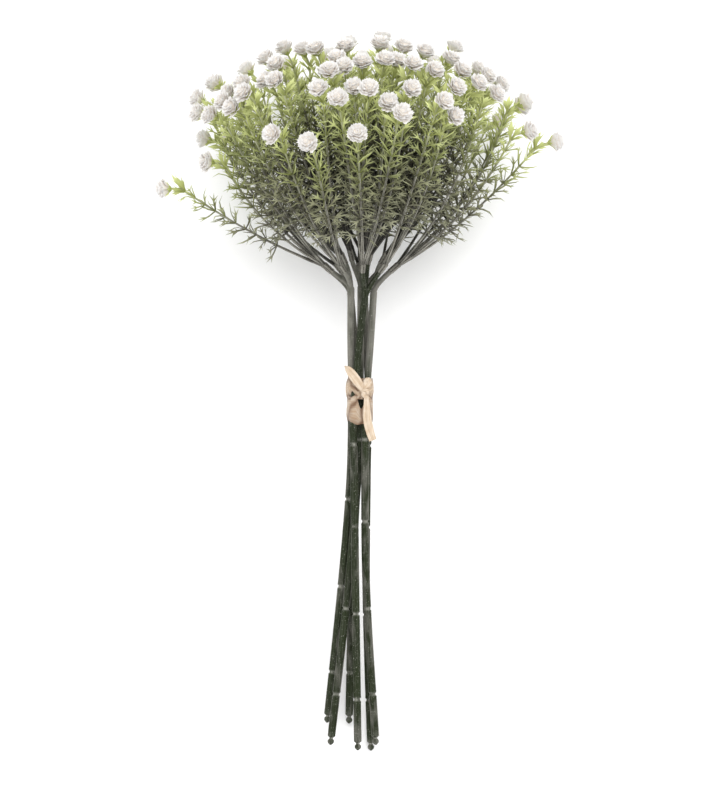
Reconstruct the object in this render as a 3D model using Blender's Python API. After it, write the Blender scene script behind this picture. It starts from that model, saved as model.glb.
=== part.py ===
# Tied bunch of six gypsophila stems, lying on a table with its head towards +Y.
# Every stem ends in three prongs, each prong carries one plug-on flower cluster,
# and a raffia ribbon ties the stems together.

import math
import random

import bmesh
import bpy
import numpy as np
from mathutils import Vector

# Driving dimensions, in millimetres and degrees.
# Bunch coordinates: u to the photograph's right, v up along the bunch, w out of the photograph.
MM_PER_PIXEL = 0.55
AXIS_PIXEL_X = 361.0
FOOT_PIXEL_Y = 752.0
LYING_TILT = math.radians(11.0)
LIFT = 10.0
SHIFT_X = 0.756
SHIFT_Y = -196.171

STEM_RADIUS = 2.2
STEM_TOP_RADIUS = 2.0
NOTCH_DEPTH = 0.55
NOTCH_HALF_WIDTH = 0.9
NOTCH_HEIGHTS = (28.0, 75.0, 123.0, 168.0)
# Each stem: foot height, top height, then its knots (v, u, w) from foot to top.
STEMS = (
    (
        "stem_1", 1.1, 251.0,
        (
            (0, -1.7, 8.0), (89, -3.0, 6.6), (150, -3.7, 4.6),
            (192, -4.0, 3.5), (225, -0.9, 5.2), (253, 2.6, 6.6),
        ),
    ),
    (
        "stem_2", 3.9, 254.0,
        (
            (0, 8.4, 0.5), (89, 3.0, 3.0), (150, 2.2, 3.7),
            (192, 2.9, 3.5), (225, 5.2, 1.6), (255, 7.1, -0.4),
        ),
    ),
    (
        "stem_3", 0.55, 255.0,
        (
            (0, 5.5, -9.0), (89, 2.9, -5.5), (150, 3.3, -3.3),
            (192, 3.9, -2.1), (225, 3.1, -4.8), (255, 1.8, -6.9),
        ),
    ),
    (
        "stem_4", 15.4, 254.0,
        (
            (15, -6.6, -9.5), (89, -5.0, -7.6), (150, -2.2, -5.6),
            (192, -0.7, -4.9), (225, -3.4, -4.7), (255, -6.0, -3.9),
        ),
    ),
    (
        "stem_5", 16.0, 256.0,
        (
            (15, -18.8, -4.6), (89, -11.0, -3.6), (150, -6.0, -2.5),
            (192, -5.1, -1.8), (225, -5.6, 1.3), (256, -5.5, 4.5),
        ),
    ),
    (
        "stem_6", 3.9, 257.0,
        (
            (0, -17.3, 2.6), (89, -7.2, 0.9), (150, -1.9, 0.1),
            (192, -0.55, 0.0), (225, -0.3, 0.0), (257, 0.0, 0.0),
        ),
    ),
)

SLEEVE_RADIUS = 1.9
SLEEVE_LENGTH = 4.6
PRONG_RADIUS = 1.15
PLUG_GAP = 0.3
PRONG_FOCUS_V = 250.0
# Ring stems serve 72 degree sectors; these are the sector middles, from +w towards +u.
RING_SECTORS = (21.0, 93.0, 165.0, 237.0, 309.0)
CENTRE_SECTORS = (57.0, 177.0, 297.0)
CENTRE_EDGE = 28.0
INNER_EDGE = 40.0
START_BEND = 17.0
END_BEND = 13.0

CAP_FOCUS_V = 265.0
# The head's reach from its focus, in millimetres, at angles from the bunch's axis.
CAP_ANGLES = (0.0, 20.0, 42.0, 52.0, 70.0)
CAP_REACH = (124.0, 131.0, 131.0, 121.0, 118.0)
# A bloom looks away from this height on the bunch's axis, and its calyx sits this far behind its middle.
LOOK_FROM_V = 300.0
BLOOM_SETBACK = 5.5
NECK_LENGTH = 6.0
# Blooms on the hidden side: a golden-angle spiral over the cap.
SPIRAL_COUNT = 80
SPIRAL_EDGE = 52.0
GOLDEN_ANGLE = 137.508
HIDDEN_DEPTH = -14.0
LAYOUT_SEED = 71
# Blooms on the visible side, read off the photograph: pixel x, pixel y.
READ_BLOOMS = (
    (284, 47), (303, 49), (316, 49), (346, 47), (380, 44), (403, 47), (425, 52), (455, 46),
    (266, 58), (276, 65), (337, 59), (329, 72), (344, 68), (362, 63), (385, 61), (397, 62),
    (413, 65), (434, 71), (451, 59), (462, 71), (478, 69), (487, 76), (213, 81), (242, 84),
    (266, 81), (275, 81), (197, 97), (228, 93), (244, 94), (223, 102), (232, 108), (197, 112),
    (210, 115), (319, 90), (338, 100), (354, 89), (369, 90), (388, 104), (402, 115), (411, 90),
    (444, 103), (454, 117), (456, 88), (478, 84), (501, 84), (496, 94), (272, 135), (308, 144),
    (357, 135),
)
# Stray blooms at the sides, with their depth towards the viewer in millimetres.
STRAY_BLOOMS = (
    (162, 188, 4.0), (206, 161, 24.0), (203, 137, -10.0),
    (557, 140, 0.0), (530, 130, 22.0), (526, 100, -6.0),
)

WHORL_STEP = 13.0
WHORL_FROM_BLOOM = 8.0
BARE_LENGTH = 18.0
INNER_WHORLS = 5
OUTER_WHORLS = 6
LEAF_LENGTH = 9.6
LEAF_ANGLE = 46.0
LEAF_ROOT = 1.3
BRANCH_ROOT_RADIUS = 1.15
BRANCH_TIP_RADIUS = 0.8
BLOOM_RADIUS = 5.1
CLEARANCE = 0.4
FLOOR_BLOOM = 4.4
FLOOR_SOFTNESS = 4.0

TIE_CENTRE_U = -0.55
TIE_INNER_RADIUS = 7.75
TIE_WALL = 0.8
TIE_STEPS = 18
RIBBON_THICKNESS = 0.7
# Ribbon ends: each row is a point (u, v, w) and the ribbon's width there.
UPPER_TAIL = (
    (1.6, 198.5, 9.0, 2.4), (-1.4, 203.0, 9.9, 4.6), (-4.4, 207.0, 9.6, 5.0),
    (-7.0, 210.3, 8.8, 3.8), (-9.0, 212.2, 8.2, 0.9),
)
LOWER_TAIL = (
    (2.9, 197.0, 9.0, 2.4), (3.3, 190.0, 9.8, 3.6), (3.6, 183.0, 9.6, 4.6),
    (5.0, 176.5, 9.2, 4.7), (6.6, 171.5, 8.9, 4.2),
)
KNOT_PLACE = (2.5, 199.0, 8.6)
KNOT_SIZE = (4.2, 5.0, 2.3)

MM = 0.001
UP = np.array((0.0, 1.0, 0.0))


def clear_scene():
    for item in list(bpy.data.objects):
        bpy.data.objects.remove(item, do_unlink=True)


def collection(name):
    made = bpy.data.collections.new(name)
    bpy.context.scene.collection.children.link(made)
    return made


def material(name, colour, roughness):
    made = bpy.data.materials.new(name)
    made.use_nodes = True
    shader = made.node_tree.nodes["Principled BSDF"]
    shader.inputs["Base Color"].default_value = (*colour, 1.0)
    shader.inputs["Roughness"].default_value = roughness
    return made


# Layout

def unit(vector):
    return vector / np.linalg.norm(vector)


def across(direction):
    """A unit vector square to direction."""
    helper = np.array((0.0, 0.0, 1.0)) if abs(direction[2]) < 0.9 else np.array((1.0, 0.0, 0.0))
    return unit(np.cross(direction, helper))


def world(point):
    """Bunch coordinates to the lying frame, still in millimetres."""
    u, v, w = point
    cosine = math.cos(LYING_TILT)
    sine = math.sin(LYING_TILT)
    return np.array((u + SHIFT_X, v * cosine - w * sine + SHIFT_Y, v * sine + w * cosine + LIFT))


def laid(point):
    """A point of the head in the lying frame, with what would sink below the table bent up."""
    out = world(point)
    out[2] = FLOOR_BLOOM + FLOOR_SOFTNESS * np.logaddexp(0.0, (out[2] - FLOOR_BLOOM) / FLOOR_SOFTNESS)
    return out


def toward(polar, around):
    polar = math.radians(polar)
    around = math.radians(around)
    return np.array((math.sin(polar) * math.sin(around), math.cos(polar), math.sin(polar) * math.cos(around)))


def angles_of(direction):
    return math.degrees(math.acos(direction[1])), math.degrees(math.atan2(direction[0], direction[2])) % 360.0


def cap_reach(polar):
    return float(np.interp(polar, CAP_ANGLES, CAP_REACH))


def read_bloom(x, y, depth=None):
    """A bloom's middle from its place in the photograph; with no depth it lies on the front of the cap."""
    u = (x - AXIS_PIXEL_X) * MM_PER_PIXEL
    v = (FOOT_PIXEL_Y - y) * MM_PER_PIXEL - CAP_FOCUS_V
    if depth is not None:
        return np.array((u, v, depth))
    depth = 30.0
    for _ in range(12):
        polar = angles_of(unit(np.array((u, v, depth))))[0]
        depth = math.sqrt(max(cap_reach(polar) ** 2 - u * u - v * v, 9.0))
    return np.array((u, v, depth))


def bloom_places():
    """Bloom middles from the cap's focus: those read off the photograph, then a spiral on the hidden side."""
    rng = random.Random(LAYOUT_SEED)
    places = [read_bloom(x, y) for x, y in READ_BLOOMS]
    places += [read_bloom(x, y, depth) for x, y, depth in STRAY_BLOOMS]
    read = len(places)
    for k in range(SPIRAL_COUNT):
        share = (k + 0.5) / SPIRAL_COUNT
        polar = math.degrees(math.acos(1.0 - (1.0 - math.cos(math.radians(SPIRAL_EDGE))) * share))
        polar += rng.uniform(-2.0, 2.0)
        around = k * GOLDEN_ANGLE + rng.uniform(-2.0, 2.0) / max(math.sin(math.radians(polar)), 0.2)
        place = toward(abs(polar), around) * (cap_reach(abs(polar)) + rng.uniform(-7.0, 3.0))
        if place[2] < HIDDEN_DEPTH:
            places.append(place)
    return spread_blooms(places, read)


def spread_blooms(places, read):
    """Moves blooms that crowd each other apart; those read off the photograph move in depth only."""
    least = 2.0 * BLOOM_RADIUS + 3.0
    for _ in range(60):
        for i in range(len(places)):
            for j in range(i):
                apart = places[i] - places[j]
                gap = np.linalg.norm(apart)
                if gap >= least:
                    continue
                push = apart / gap * (least - gap) * 0.5
                deep = np.array((0.0, 0.0, 1.0 if apart[2] >= 0.0 else -1.0)) * (least - gap) * 0.6
                places[i] = places[i] + (deep if i < read else push)
                places[j] = places[j] - (deep if j < read else push)
    return places


def cell_of(place):
    """The name of the cluster that a bloom belongs to: centre, inner or outer, and its number."""
    polar, around = angles_of(unit(place))
    if polar < CENTRE_EDGE:
        return "centre", round((around - CENTRE_SECTORS[0]) / 120.0) % 3
    ring = round((around - RING_SECTORS[0]) / 72.0) % 5
    if polar < INNER_EDGE:
        return "inner", ring
    return "outer", round((around - RING_SECTORS[0] + 18.0) / 36.0) % 10


def cluster_plan():
    """Every cluster: its stem's number, hub, direction, and the places of its blooms."""
    cells = {}
    for place in bloom_places():
        cells.setdefault(cell_of(place), []).append(place)
    plan = []
    for kind, count in (("centre", 3), ("inner", 5), ("outer", 10)):
        for number in range(count):
            if kind == "centre":
                stem, direction, reach = 5, toward(15.0, CENTRE_SECTORS[number]), 26.0
            elif kind == "inner":
                stem, direction, reach = number, toward(30.0, RING_SECTORS[number]), 26.5
            else:
                around = RING_SECTORS[0] - 18.0 + 36.0 * number
                stem, direction, reach = number // 2, toward(50.0, around), 27.0
            hub = np.array((0.0, PRONG_FOCUS_V, 0.0)) + direction * reach
            blooms = cells[(kind, number)]
            plan.append({"kind": kind, "stem": stem, "hub": hub, "direction": direction, "blooms": blooms})
    return plan


def bezier(p0, p1, p2, p3, t):
    s = 1.0 - t
    return p0 * s ** 3 + p1 * 3.0 * s * s * t + p2 * 3.0 * s * t * t + p3 * t ** 3


def bent(chord, outward, degrees):
    """The chord turned outwards from the bunch's axis by an angle."""
    angle = math.radians(degrees)
    return unit(chord * math.cos(angle) + outward * math.sin(angle))


def branch_line(hub, middle, rng):
    """A branchlet's centre line in the lying frame: it leaves its hub outwards, curves up, and nods."""
    look = unit(middle - UP * LOOK_FROM_V)
    foot = middle - look * BLOOM_SETBACK
    tip = foot - look * NECK_LENGTH
    chord = tip - hub
    length = np.linalg.norm(chord)
    chord = chord / length
    radial = chord - UP * float(chord @ UP)
    spread = float(np.linalg.norm(radial))
    outward = unit(radial / spread - chord * float(radial @ chord) / spread)
    bend = min(spread / 0.7, 1.2) * min(max((0.95 - spread) / 0.15, 0.0), 1.0)
    sway = np.array([rng.uniform(-0.09, 0.09) for _ in range(3)])
    start = unit(bent(chord, outward, START_BEND * bend) + sway)
    end = unit(bent(chord, outward, -END_BEND * bend) - sway)
    handles = (hub, hub + start * length * 0.36, tip - end * length * 0.34, tip)
    line = [bezier(*handles, k / 36.0) for k in range(37)]
    neck = (tip, tip + end * NECK_LENGTH * 0.45, foot - look * NECK_LENGTH * 0.4, foot)
    line += [bezier(*neck, k / 4.0) for k in range(1, 5)]
    return np.array([laid(point) for point in line])


def place_on(line, distance_from_tip):
    """Point and direction on a sampled line, at a distance back from its tip."""
    steps = np.linalg.norm(np.diff(line, axis=0), axis=1)
    along = np.concatenate(((0.0,), np.cumsum(steps)))
    at = along[-1] - distance_from_tip
    point = np.array([np.interp(at, along, line[:, k]) for k in range(3)])
    ahead = np.array([np.interp(at + 1.5, along, line[:, k]) for k in range(3)])
    behind = np.array([np.interp(at - 1.5, along, line[:, k]) for k in range(3)])
    return point, unit(ahead - behind)


def line_length(line):
    return float(np.linalg.norm(np.diff(line, axis=0), axis=1).sum())


# Bloom profile: ring radius and height over the calyx's foot, then petal tips.
CALYX_LENGTH = 2.5
BLOOM_RINGS = ((2.0, CALYX_LENGTH), (3.2, 5.2), (2.2, 7.4))
OUTER_TIP = (BLOOM_RADIUS, 5.7)
INNER_TIP = (4.3, 8.2)
BLOOM_TOP = 9.0


def bloom_point(foot, axis, side, radius, height, turn):
    other = np.cross(axis, side)
    return foot + axis * height + (side * math.cos(turn) + other * math.sin(turn)) * radius


def petal_tips(foot, axis, side):
    tips = []
    for k in range(6):
        turn = math.radians(60.0 * k + 30.0)
        tips.append(bloom_point(foot, axis, side, OUTER_TIP[0], OUTER_TIP[1], turn))
        tips.append(bloom_point(foot, axis, side, INNER_TIP[0], INNER_TIP[1], turn))
    tips.append(foot + axis * BLOOM_TOP)
    return np.array(tips)


def lay_branch(hub, middle, rng):
    """A branchlet and its bloom; a bloom close to the table is set down on its petals."""
    line = branch_line(hub, middle, rng)
    axis = unit(line[-1] - line[-2])
    side = across(axis)
    turn = rng.uniform(0.0, 1.0)
    side = side * math.cos(turn) + np.cross(axis, side) * math.sin(turn)
    lowest = petal_tips(line[-1], axis, side)[:, 2].min()
    if lowest < 1.3:
        weight = np.linspace(0.0, 1.0, len(line)) ** 3
        line[:, 2] -= weight * lowest
    return {"line": line, "axis": axis, "side": side}


# Clearance between clusters

def segment_distance(p, q, starts, ends):
    """Distances from the segment p-q to each of many segments."""
    d1 = q - p
    d2 = ends - starts
    r = p - starts
    a = float(d1 @ d1) + 1e-9
    e = np.einsum("ij,ij->i", d2, d2) + 1e-9
    f = np.einsum("ij,ij->i", d2, r)
    c = r @ d1
    b = d2 @ d1
    s = np.clip((b * f - c * e) / np.maximum(a * e - b * b, 1e-9), 0.0, 1.0)
    t = np.clip((b * s + f) / e, 0.0, 1.0)
    s = np.clip((b * t - c) / a, 0.0, 1.0)
    gap = (p + s[:, None] * d1) - (starts + t[:, None] * d2)
    return np.linalg.norm(gap, axis=1)


class Crowd:
    """Everything already placed, as round-ended rods with a radius and an owner."""

    def __init__(self):
        self.starts = []
        self.ends = []
        self.radii = []
        self.owners = []
        self.table = None

    def add(self, owner, start, end, radius):
        self.starts.append(start)
        self.ends.append(end)
        self.radii.append(radius)
        self.owners.append(owner)
        self.table = None

    def room(self, owner, start, end, radius):
        """The least free distance from a rod to everything of other owners."""
        if self.table is None:
            self.table = (
                np.array(self.starts), np.array(self.ends), np.array(self.radii), np.array(self.owners),
            )
        starts, ends, radii, owners = self.table
        near = owners != owner
        gaps = segment_distance(start, end, starts[near], ends[near]) - radii[near] - radius
        return float(gaps.min())


def branch_radius(share):
    return BRANCH_ROOT_RADIUS + (BRANCH_TIP_RADIUS - BRANCH_ROOT_RADIUS) * share


def crowd_of(clusters):
    crowd = Crowd()
    for owner, cluster in enumerate(clusters):
        for branch in cluster["branches"]:
            line = branch["line"]
            for k in range(0, 40, 4):
                crowd.add(owner, line[k], line[k + 4], branch_radius(k / 40.0))
            foot = line[-1]
            crowd.add(owner, foot + branch["axis"] * 4.4, foot + branch["axis"] * 5.8, BLOOM_RADIUS - 0.6)
    return crowd


def leaf_tip(point, direction, spoke, length, angle):
    angle = math.radians(angle)
    tip = point + direction * (math.cos(angle) * length) + spoke * (math.sin(angle) * length)
    tip[2] = max(tip[2], 0.6)
    return tip


def whorl_leaves(crowd, owner, point, direction, length, rng):
    """Three leaf tips round a whorl and the whorl's turn, clear of every other cluster."""
    side = across(direction)
    other = np.cross(direction, side)
    base = rng.uniform(0.0, 120.0)
    best = None
    for step in range(6):
        turn = base + step * 20.0
        tips = []
        score = 0
        for k in range(3):
            around = math.radians(turn + 120.0 * k)
            spoke = side * math.cos(around) + other * math.sin(around)
            found = None
            for share in (1.0, 0.8, 0.6):
                tip = leaf_tip(point, direction, spoke, length * share, LEAF_ANGLE)
                if crowd.room(owner, point, tip, 0.75) > CLEARANCE:
                    found = tip
                    score += share
                    break
            tips.append(found)
        if best is None or score > best[0] + 0.01:
            best = (score, math.radians(turn), tips)
        if score > 2.99:
            break
    for tip in best[2]:
        if tip is not None:
            crowd.add(owner, point, tip, 0.75)
    return best[1], best[2]


def layout(step_over=2):
    """The whole head: every cluster with its branchlets, blooms and leaf whorls, in millimetres."""
    clusters = cluster_plan()
    rng = random.Random(LAYOUT_SEED + 1)
    for cluster in clusters:
        origin = np.array((0.0, CAP_FOCUS_V, 0.0))
        cluster["branches"] = [lay_branch(cluster["hub"], origin + place, rng) for place in cluster["blooms"]]
    crowd = crowd_of(clusters)
    for owner, cluster in enumerate(clusters):
        for branch in cluster["branches"]:
            length = line_length(branch["line"])
            branch["whorls"] = []
            count = int((length - BARE_LENGTH - WHORL_FROM_BLOOM) / WHORL_STEP) + 1
            count = min(count, OUTER_WHORLS if cluster["kind"] == "outer" else INNER_WHORLS)
            for k in range(0, count, step_over):
                back = WHORL_FROM_BLOOM + k * WHORL_STEP
                point, direction = place_on(branch["line"], back)
                size = LEAF_LENGTH * (0.85 if k == 0 else 1.0) * rng.uniform(0.92, 1.08)
                turn, tips = whorl_leaves(crowd, owner, point, direction, size, rng)
                radius = branch_radius(1.0 - back / length)
                branch["whorls"].append(
                    {"point": point, "direction": direction, "turn": turn, "tips": tips, "radius": radius}
                )
    return clusters


# Bodies

def ring_points(centre, direction, turn, radius, count):
    side = across(direction)
    other = np.cross(direction, side)
    points = []
    for k in range(count):
        angle = turn + math.tau * k / count
        points.append(centre + (side * math.cos(angle) + other * math.sin(angle)) * radius)
    return points


def set_ring(face, points):
    for loop, point in zip(face.loops, points):
        loop.vert.co = Vector(point) * MM


def grow(bm, face, points):
    """Extrudes the end face to a new ring; returns the new end face and the side faces in ring order."""
    walled = len(face.edges[0].link_faces) > 1
    made = bmesh.ops.extrude_face_region(bm, geom=[face])
    end = next(item for item in made["geom"] if isinstance(item, bmesh.types.BMFace))
    if walled:
        bmesh.ops.delete(bm, geom=[face], context="FACES_ONLY")
    set_ring(end, points)
    sides = []
    for loop in end.loops:
        sides.append(next(item for item in loop.edge.link_faces if item is not end))
    return end, sides


def raise_point(bm, face, tip):
    made = bmesh.ops.poke(bm, faces=[face])
    made["verts"][0].co = Vector(tip) * MM


def branch_mesh(branch):
    """A three-sided branchlet with leaf spikes at its whorls and a two-layer bloom at its end."""
    bm = bmesh.new()
    made = bmesh.ops.create_circle(bm, cap_ends=True, segments=3, radius=1.0)
    face = made["verts"][0].link_faces[0]
    line = branch["line"]
    whorls = list(reversed(branch["whorls"]))
    first_turn = whorls[0]["turn"] if whorls else 0.0
    start_direction = unit(line[2] - line[0])
    root = ring_points(line[0], start_direction, first_turn - math.radians(60.0), BRANCH_ROOT_RADIUS, 3)
    set_ring(face, root)
    for whorl in whorls:
        point = whorl["point"]
        direction = whorl["direction"]
        turn = whorl["turn"] - math.radians(60.0)
        lower = ring_points(point - direction * LEAF_ROOT * 0.5, direction, turn, whorl["radius"], 3)
        upper = ring_points(point + direction * LEAF_ROOT * 0.5, direction, turn, whorl["radius"], 3)
        face, _ = grow(bm, face, lower)
        face, sides = grow(bm, face, upper)
        leaves_on(bm, sides, whorl["tips"])
    bloom_on(bm, face, branch)
    bmesh.ops.recalc_face_normals(bm, faces=bm.faces)
    return bm


def leaves_on(bm, sides, tips):
    """Raises the side face that looks towards each leaf tip."""
    free = list(sides)
    for tip in tips:
        if tip is None:
            continue
        target = Vector(tip) * MM
        nearest = min(free, key=lambda item: (item.calc_center_median() - target).length)
        free.remove(nearest)
        raise_point(bm, nearest, tip)


def bloom_on(bm, face, branch):
    foot = branch["line"][-1]
    axis = branch["axis"]
    side = branch["side"]
    root = [bloom_point(foot, axis, side, BRANCH_TIP_RADIUS, 0.0, math.tau * k / 3) for k in range(3)]
    face, _ = grow(bm, face, nearest_order(face, root))
    start = [loop.vert for loop in face.loops]
    first = ordered_turn(start[0].co, foot, axis, side)
    handed = ordered_turn(start[1].co, foot, axis, side) - first
    sign = 1.0 if math.sin(handed) > 0.0 else -1.0
    wide = []
    for k in range(3):
        turn = first + sign * math.tau * k / 3
        wide.append(bloom_point(foot, axis, side, BLOOM_RINGS[0][0], BLOOM_RINGS[0][1], turn))
    face, _ = grow(bm, face, wide)
    bmesh.ops.bisect_edges(bm, edges=list(face.edges), cuts=1)
    base = ordered_turn(face.loops[0].vert.co, foot, axis, side)
    for ring, (radius, height) in enumerate(BLOOM_RINGS):
        points = []
        for k in range(6):
            points.append(bloom_point(foot, axis, side, radius, height, base + sign * math.tau * k / 6))
        if ring == 0:
            set_ring(face, points)
            continue
        face, sides = grow(bm, face, points)
        tip = OUTER_TIP if ring == 1 else INNER_TIP
        for item in sides:
            middle = ordered_turn(item.calc_center_median(), foot, axis, side)
            raise_point(bm, item, bloom_point(foot, axis, side, tip[0], tip[1], middle))
    raise_point(bm, face, foot + axis * BLOOM_TOP)


def ordered_turn(place, foot, axis, side):
    """The angle of a vertex round a bloom's axis."""
    offset = np.array(place) / MM - foot
    other = np.cross(axis, side)
    return math.atan2(float(offset @ other), float(offset @ side))


def nearest_order(face, points):
    """Ring points turned so that each lies closest to the loop that it takes."""
    now = [np.array(loop.vert.co) / MM for loop in face.loops]
    best = None
    for order in (points, points[::-1]):
        for shift in range(len(order)):
            turned = order[shift:] + order[:shift]
            total = sum(float(np.linalg.norm(a - b)) for a, b in zip(now, turned))
            if best is None or total < best[0]:
                best = (total, turned)
    return best[1]


def mesh_object(name, bm, target):
    mesh = bpy.data.meshes.new(name)
    bm.to_mesh(mesh)
    bm.free()
    made = bpy.data.objects.new(name, mesh)
    target.objects.link(made)
    return made


def rod_object(name, points, radii, sides_setting, target):
    """A closed rod along points in millimetres, with a radius at every point."""
    curve = bpy.data.curves.new(name, "CURVE")
    curve.dimensions = "3D"
    curve.bevel_depth = MM
    curve.bevel_resolution = sides_setting
    curve.use_fill_caps = True
    spline = curve.splines.new("POLY")
    spline.points.add(len(points) - 1)
    for item, point, radius in zip(spline.points, points, radii):
        item.co = (*(Vector(point) * MM), 1.0)
        item.radius = radius
    drawn = bpy.data.objects.new(name + "_line", curve)
    target.objects.link(drawn)
    depsgraph = bpy.context.evaluated_depsgraph_get()
    mesh = bpy.data.meshes.new_from_object(drawn.evaluated_get(depsgraph))
    mesh.transform(drawn.matrix_world)
    bm = bmesh.new()
    bm.from_mesh(mesh)
    bmesh.ops.remove_doubles(bm, verts=bm.verts, dist=0.00001)
    bmesh.ops.recalc_face_normals(bm, faces=bm.faces)
    bpy.data.objects.remove(drawn, do_unlink=True)
    return mesh_object(name, bm, target)


def island_of(face):
    """All faces joined to this one over plain edges; an edge of four faces only touches a loose scrap."""
    found = {face}
    waiting = [face]
    while waiting:
        for edge in waiting.pop().edges:
            for item in edge.link_faces if len(edge.link_faces) == 2 else ():
                if item not in found:
                    found.add(item)
                    waiting.append(item)
    return found


def fill_voids(mesh):
    """Takes away loose scraps and the walls of any space that the joined bodies close in between them."""
    bm = bmesh.new()
    bm.from_mesh(mesh)
    bmesh.ops.triangulate(bm, faces=bm.faces)
    outer = island_of(max(bm.faces, key=lambda item: item.calc_center_median().z))
    inner = [item for item in bm.faces if item not in outer]
    bmesh.ops.delete(bm, geom=inner, context="FACES")
    bm.to_mesh(mesh)
    bm.free()
    return mesh


def fuse(base, others, name, target):
    """Joins bodies that sink into each other into one closed body."""
    joined = collection(name + "_repeats")
    for item in others:
        target.objects.unlink(item)
        joined.objects.link(item)
    union = base.modifiers.new("Join", "BOOLEAN")
    union.operation = "UNION"
    union.operand_type = "COLLECTION"
    union.collection = joined
    union.solver = "MANIFOLD"
    depsgraph = bpy.context.evaluated_depsgraph_get()
    mesh = bpy.data.meshes.new_from_object(base.evaluated_get(depsgraph))
    base.modifiers.clear()
    base.data = fill_voids(mesh)
    for item in list(joined.objects):
        bpy.data.objects.remove(item, do_unlink=True)
    bpy.data.collections.remove(joined)
    base.name = name
    return base


def dress(item, surface, smooth=False):
    item.data.materials.clear()
    item.data.materials.append(surface)
    for polygon in item.data.polygons:
        polygon.use_smooth = smooth


# Clusters

def build_cluster(number, cluster, surface, target):
    name = f"cluster_{number + 1:02d}"
    hub = cluster["hub"]
    direction = cluster["direction"]
    stations = ((-SLEEVE_LENGTH, SLEEVE_RADIUS - 0.2), (-2.4, SLEEVE_RADIUS), (1.6, 1.2))
    points = [world(hub + direction * at) for at, _ in stations]
    base = rod_object(name, points, [radius for _, radius in stations], 1, target)
    others = []
    for k, branch in enumerate(cluster["branches"]):
        bm = branch_mesh(branch)
        others.append(mesh_object(f"{name}_branch_{k}", bm, target))
    made = fuse(base, others, name, target)
    dress(made, surface)
    return made


# Stems

def smooth_value(knots, v, column):
    """A smooth curve through the knots, by the slopes of the neighbours."""
    heights = [knot[0] for knot in knots]
    values = [knot[column] for knot in knots]
    last = len(knots) - 1
    k = min(max(sum(1 for height in heights if height <= v) - 1, 0), last - 1)
    slopes = []
    for at in (k, k + 1):
        low = max(at - 1, 0)
        high = min(at + 1, last)
        slopes.append((values[high] - values[low]) / (heights[high] - heights[low]))
    span = heights[k + 1] - heights[k]
    t = (v - heights[k]) / span
    return (
        values[k] * (2 * t ** 3 - 3 * t * t + 1)
        + slopes[0] * span * (t ** 3 - 2 * t * t + t)
        + values[k + 1] * (3 * t * t - 2 * t ** 3)
        + slopes[1] * span * (t ** 3 - t * t)
    )


def stem_point(stem, v):
    knots = stem[3]
    return np.array((smooth_value(knots, v, 1), v, smooth_value(knots, v, 2)))


def stem_stations(stem):
    """Heights and radii from the ball at the foot to the rounded top."""
    foot = stem[1]
    top = stem[2]
    ball = ((0.0, 0.35), (1.0, 1.5), (2.2, 1.85), (3.8, 1.0), (5.0, STEM_RADIUS))
    stations = [(foot + at, radius) for at, radius in ball]
    for height in NOTCH_HEIGHTS:
        stations.append((foot + height - NOTCH_HALF_WIDTH, STEM_RADIUS))
        stations.append((foot + height, STEM_RADIUS - NOTCH_DEPTH))
        stations.append((foot + height + NOTCH_HALF_WIDTH, STEM_RADIUS))
    for height in (52.0, 192.0, 209.0, 230.0):
        stations.append((height, STEM_RADIUS if height < 190.0 else STEM_TOP_RADIUS))
    stations.append((top - 0.9, STEM_TOP_RADIUS))
    stations.append((top, 1.4))
    return sorted(stations)


def prong_line(stem, cluster):
    top = stem_point(stem, stem[2] - 2.5)
    heading = unit(stem_point(stem, stem[2]) - stem_point(stem, stem[2] - 8.0))
    end = cluster["hub"] - cluster["direction"] * (SLEEVE_LENGTH + PLUG_GAP)
    handles = (top, top + heading * 5.0, end - cluster["direction"] * 5.0, end)
    return [bezier(*handles, t) for t in (0.0, 0.5, 1.0)]


def build_stem(number, stem, clusters, surface, target):
    name = stem[0]
    stations = stem_stations(stem)
    points = [world(stem_point(stem, v)) for v, _ in stations]
    base = rod_object(name, points, [radius for _, radius in stations], 2, target)
    others = []
    for k, cluster in enumerate(clusters):
        if cluster["stem"] != number:
            continue
        points = [world(point) for point in prong_line(stem, cluster)]
        radii = [PRONG_RADIUS + 0.25, PRONG_RADIUS, PRONG_RADIUS]
        others.append(rod_object(f"{name}_prong_{k}", points, radii, 1, target))
    made = fuse(base, others, name, target)
    dress(made, surface, smooth=True)
    return made


# Raffia tie

def tie_place(around, v, radius):
    turn = math.radians(around)
    return np.array((TIE_CENTRE_U + math.sin(turn) * radius, v, math.cos(turn) * radius))


def band_mesh(low_rim, high_rim, inner, wall, steps):
    """A closed band round the stems; each rim is a function of the angle from +w towards +u."""
    bm = bmesh.new()
    places = ((inner, 0, 0), (inner + wall, 0, 0), (inner + wall, 0, 1), (inner, 0, 1))
    corners = [bm.verts.new(place) for place in places]
    wire = [bm.edges.new((corners[k], corners[(k + 1) % 4])) for k in range(4)]
    bmesh.ops.spin(
        bm, geom=corners + wire, cent=(0, 0, 0), axis=(0, 0, 1), angle=math.tau, steps=steps, use_merge=True,
    )
    for vert in bm.verts:
        around = math.degrees(math.atan2(vert.co.x, vert.co.y))
        radius = math.hypot(vert.co.x, vert.co.y)
        rim = high_rim if vert.co.z > 0.5 else low_rim
        vert.co = Vector(world(tie_place(around, rim(around), radius))) * MM
    bmesh.ops.recalc_face_normals(bm, faces=bm.faces)
    return bm


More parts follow.
